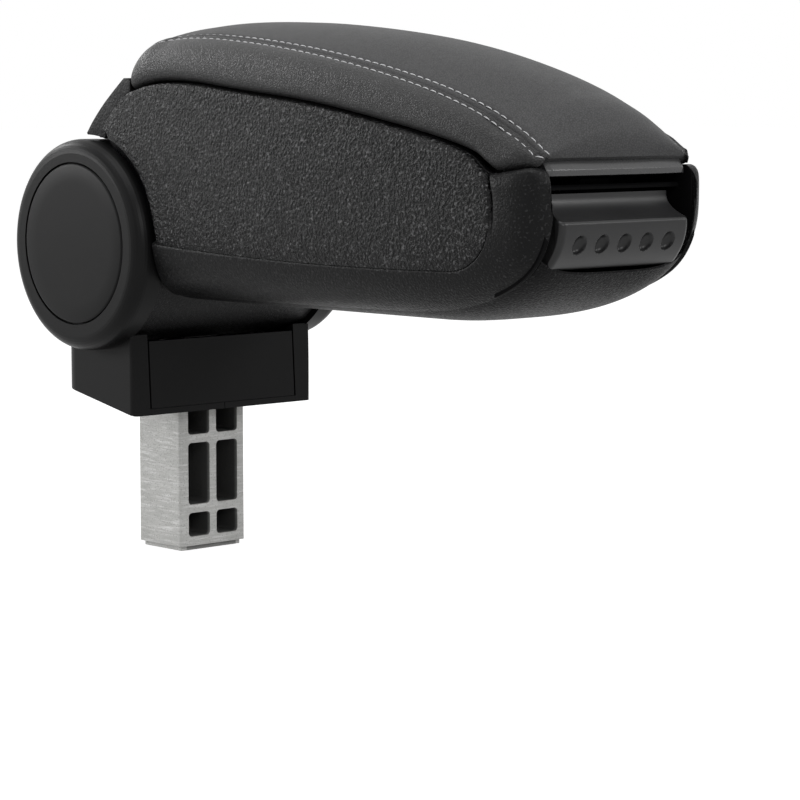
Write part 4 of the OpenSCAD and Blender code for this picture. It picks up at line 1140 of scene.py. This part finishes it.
def paddle():
    face = [PADDLE_BOTTOM + (PADDLE_EDGE - PADDLE_ROUND - PADDLE_BOTTOM) * k / 52 for k in range(53)]
    edge = [PADDLE_EDGE - PADDLE_ROUND * (1 - k / 8) for k in range(1, 9)]
    sweep = [PADDLE_EDGE + 0.3 + (SCOOP_TOP - PADDLE_EDGE - 0.3) * k / 30 for k in range(31)]
    rings = []
    for k in range(221):
        u = clamp(-1 + k / 110, -1, 1)
        u = math.copysign(1 - (1 - abs(u)) ** 1.1, u)
        ring = [(u * PADDLE_HALF, ARM_LENGTH - 9.3, PADDLE_SHELF)]
        for z in face + edge + sweep:
            half = paddle_half(z)
            lower = z <= PADDLE_EDGE
            radius = 2.6 if lower else 0.8
            end = clamp((abs(u) * half - half + radius) / radius)
            recess = radius * (1 - math.sqrt(1 - min(0.985, end) ** 2))
            s = paddle_front(z) - dimple_depth(u * half, z) if lower else scoop_front(z)
            ring.append((u * half, s - recess, z))
        ring += [(u * SCOOP_HALF, PADDLE_BACK, SCOOP_TOP), (u * PADDLE_HALF, PADDLE_BACK, PADDLE_SHELF)]
        rings.append(ring)
    piece = loft("paddle_skin", rings, SATIN, "latch")
    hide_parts("latch_paddle")


def latch_back():
    """Hinge barrel of the paddle and the catch behind the striker, on its two arms."""
    rear, front = LATCH_S - 7, LATCH_S - 4.2
    barrel = circle(LATCH_S, LATCH_Z, LATCH_BARREL)
    web = [(LATCH_S, LATCH_Z + 2.5), (LATCH_S + 1.5, LATCH_Z - 2), (PADDLE_BACK + 1.5, PADDLE_SHELF),
           (PADDLE_BACK + 1.5, 6)]
    hook = [(rear, 16), (PADDLE_BACK + 1, 16), (PADDLE_BACK + 1, 23), (front, 23), (front, CATCH_TOP),
            (rear, CATCH_TOP)]
    bar = [(rear, 23.9), (front, 23.9), (front, CATCH_TOP), (rear, CATCH_TOP)]
    extrude("latch_barrel", barrel, -LUG_INNER, LUG_INNER, SMOOTH, "latch", edge=0.3)
    extrude("latch_web", web, -LUG_INNER, LUG_INNER, SMOOTH, "latch", edge=0.2)
    for name, outline, x0, x1 in (
            ("left_catch_arm", hook, -CATCH_HALF, -CATCH_HALF + 3),
            ("right_catch_arm", hook, CATCH_HALF - 3, CATCH_HALF),
            ("catch_bar", bar, -CATCH_HALF, CATCH_HALF)):
        extrude(name, outline, x0, x1, SMOOTH, "latch", edge=0.3)


paddle()
latch_back()


# Stage, light and camera
def seen_directly(tree):
    """1 for camera, glossy and transmission rays, which see the background, else 0."""
    path = tree.nodes.new("ShaderNodeLightPath")
    share = path.outputs["Is Camera Ray"]
    for ray in ("Is Glossy Ray", "Is Transmission Ray"):
        add = tree.nodes.new("ShaderNodeMath")
        add.operation = "ADD"
        add.use_clamp = True
        tree.links.new(share, add.inputs[0])
        tree.links.new(path.outputs[ray], add.inputs[1])
        share = add.outputs[0]
    return share


FLOOR_COLOUR = 0.3
FLOOR_GLOW = 0.95
WORLD_LEVEL = 0.2
# Name, place, target and size in metres, and power in watts
LAMPS = [
    ("overhead", (-0.35, -0.2, 1.25), (0, -0.1, 0.05), (1.1, 0.8), 10),
    ("rear", (-0.1, 1.5, 0.9), (0, 0.0, 0.05), (0.6, 0.4), 6),
    ("left_side", (-1.4, 0.1, 0.55), (0, -0.1, 0.05), (0.9, 0.9), 2),
    ("left_rear", (-0.95, 1.2, 0.42), (0, -0.1, 0.05), (0.6, 0.4), 9),
    ("front_left", (-0.4, -1.5, 0.8), (0, -0.1, 0.02), (0.8, 0.6), 8),
    ("front_right", (0.9, -1.35, 0.9), (0, -0.2, 0.05), (0.5, 0.5), 9),
]


def make_floor():
    mesh = bpy.data.meshes.new("floor")
    size, z = 12.0, (STEM_BOTTOM + PIVOT_HEIGHT) * MM - 0.0005
    corners = [(-size, -size, z), (size, -size, z), (size, size, z), (-size, size, z)]
    mesh.from_pydata(corners, [], [(0, 1, 2, 3)])
    floor = bpy.data.objects.new("floor", mesh)
    bpy.context.scene.collection.objects.link(floor)
    material = bpy.data.materials.new("floor")
    material.use_nodes = True
    tree = material.node_tree
    tree.nodes.clear()
    output = tree.nodes.new("ShaderNodeOutputMaterial")
    diffuse = tree.nodes.new("ShaderNodeBsdfDiffuse")
    diffuse.inputs["Color"].default_value = (*[FLOOR_COLOUR] * 3, 1)
    glow = tree.nodes.new("ShaderNodeEmission")
    glow.inputs["Color"].default_value = (1, 1, 1, 1)
    level = tree.nodes.new("ShaderNodeMath")
    level.operation = "MULTIPLY"
    level.inputs[1].default_value = FLOOR_GLOW
    both = tree.nodes.new("ShaderNodeAddShader")
    tree.links.new(seen_directly(tree), level.inputs[0])
    tree.links.new(level.outputs[0], glow.inputs["Strength"])
    tree.links.new(diffuse.outputs[0], both.inputs[0])
    tree.links.new(glow.outputs[0], both.inputs[1])
    tree.links.new(both.outputs[0], output.inputs["Surface"])
    mesh.materials.append(material)


def make_world():
    world = bpy.data.worlds.new("studio")
    world.use_nodes = True
    tree = world.node_tree
    back = tree.nodes["Background"]
    level = tree.nodes.new("ShaderNodeMapRange")
    level.inputs["To Min"].default_value = WORLD_LEVEL
    level.inputs["To Max"].default_value = 1.0
    tree.links.new(seen_directly(tree), level.inputs["Value"])
    tree.links.new(level.outputs["Result"], back.inputs["Strength"])
    back.inputs["Color"].default_value = (1, 1, 1, 1)
    bpy.context.scene.world = world


def area_light(name, location, target, size, power):
    data = bpy.data.lights.new(name, "AREA")
    data.shape = "RECTANGLE"
    data.size, data.size_y = size
    data.energy = power
    lamp = bpy.data.objects.new(name, data)
    lamp.location = location
    direction = Vector(target) - Vector(location)
    lamp.rotation_euler = direction.to_track_quat("-Z", "Y").to_euler()
    bpy.context.scene.collection.objects.link(lamp)


def make_camera():
    data = bpy.data.cameras.new("camera")
    data.lens = 127.1
    data.sensor_width = 36
    camera = bpy.data.objects.new("camera", data)
    camera.location = (-0.77917, -0.96982, 0.13188)
    camera.rotation_euler = Euler((math.radians(83.8), 0, math.radians(-43.03)))
    bpy.context.scene.collection.objects.link(camera)
    bpy.context.scene.camera = camera


make_floor()
make_world()
for lamp in LAMPS:
    area_light(*lamp)
make_camera()
bpy.context.scene.view_settings.view_transform = "Standard"
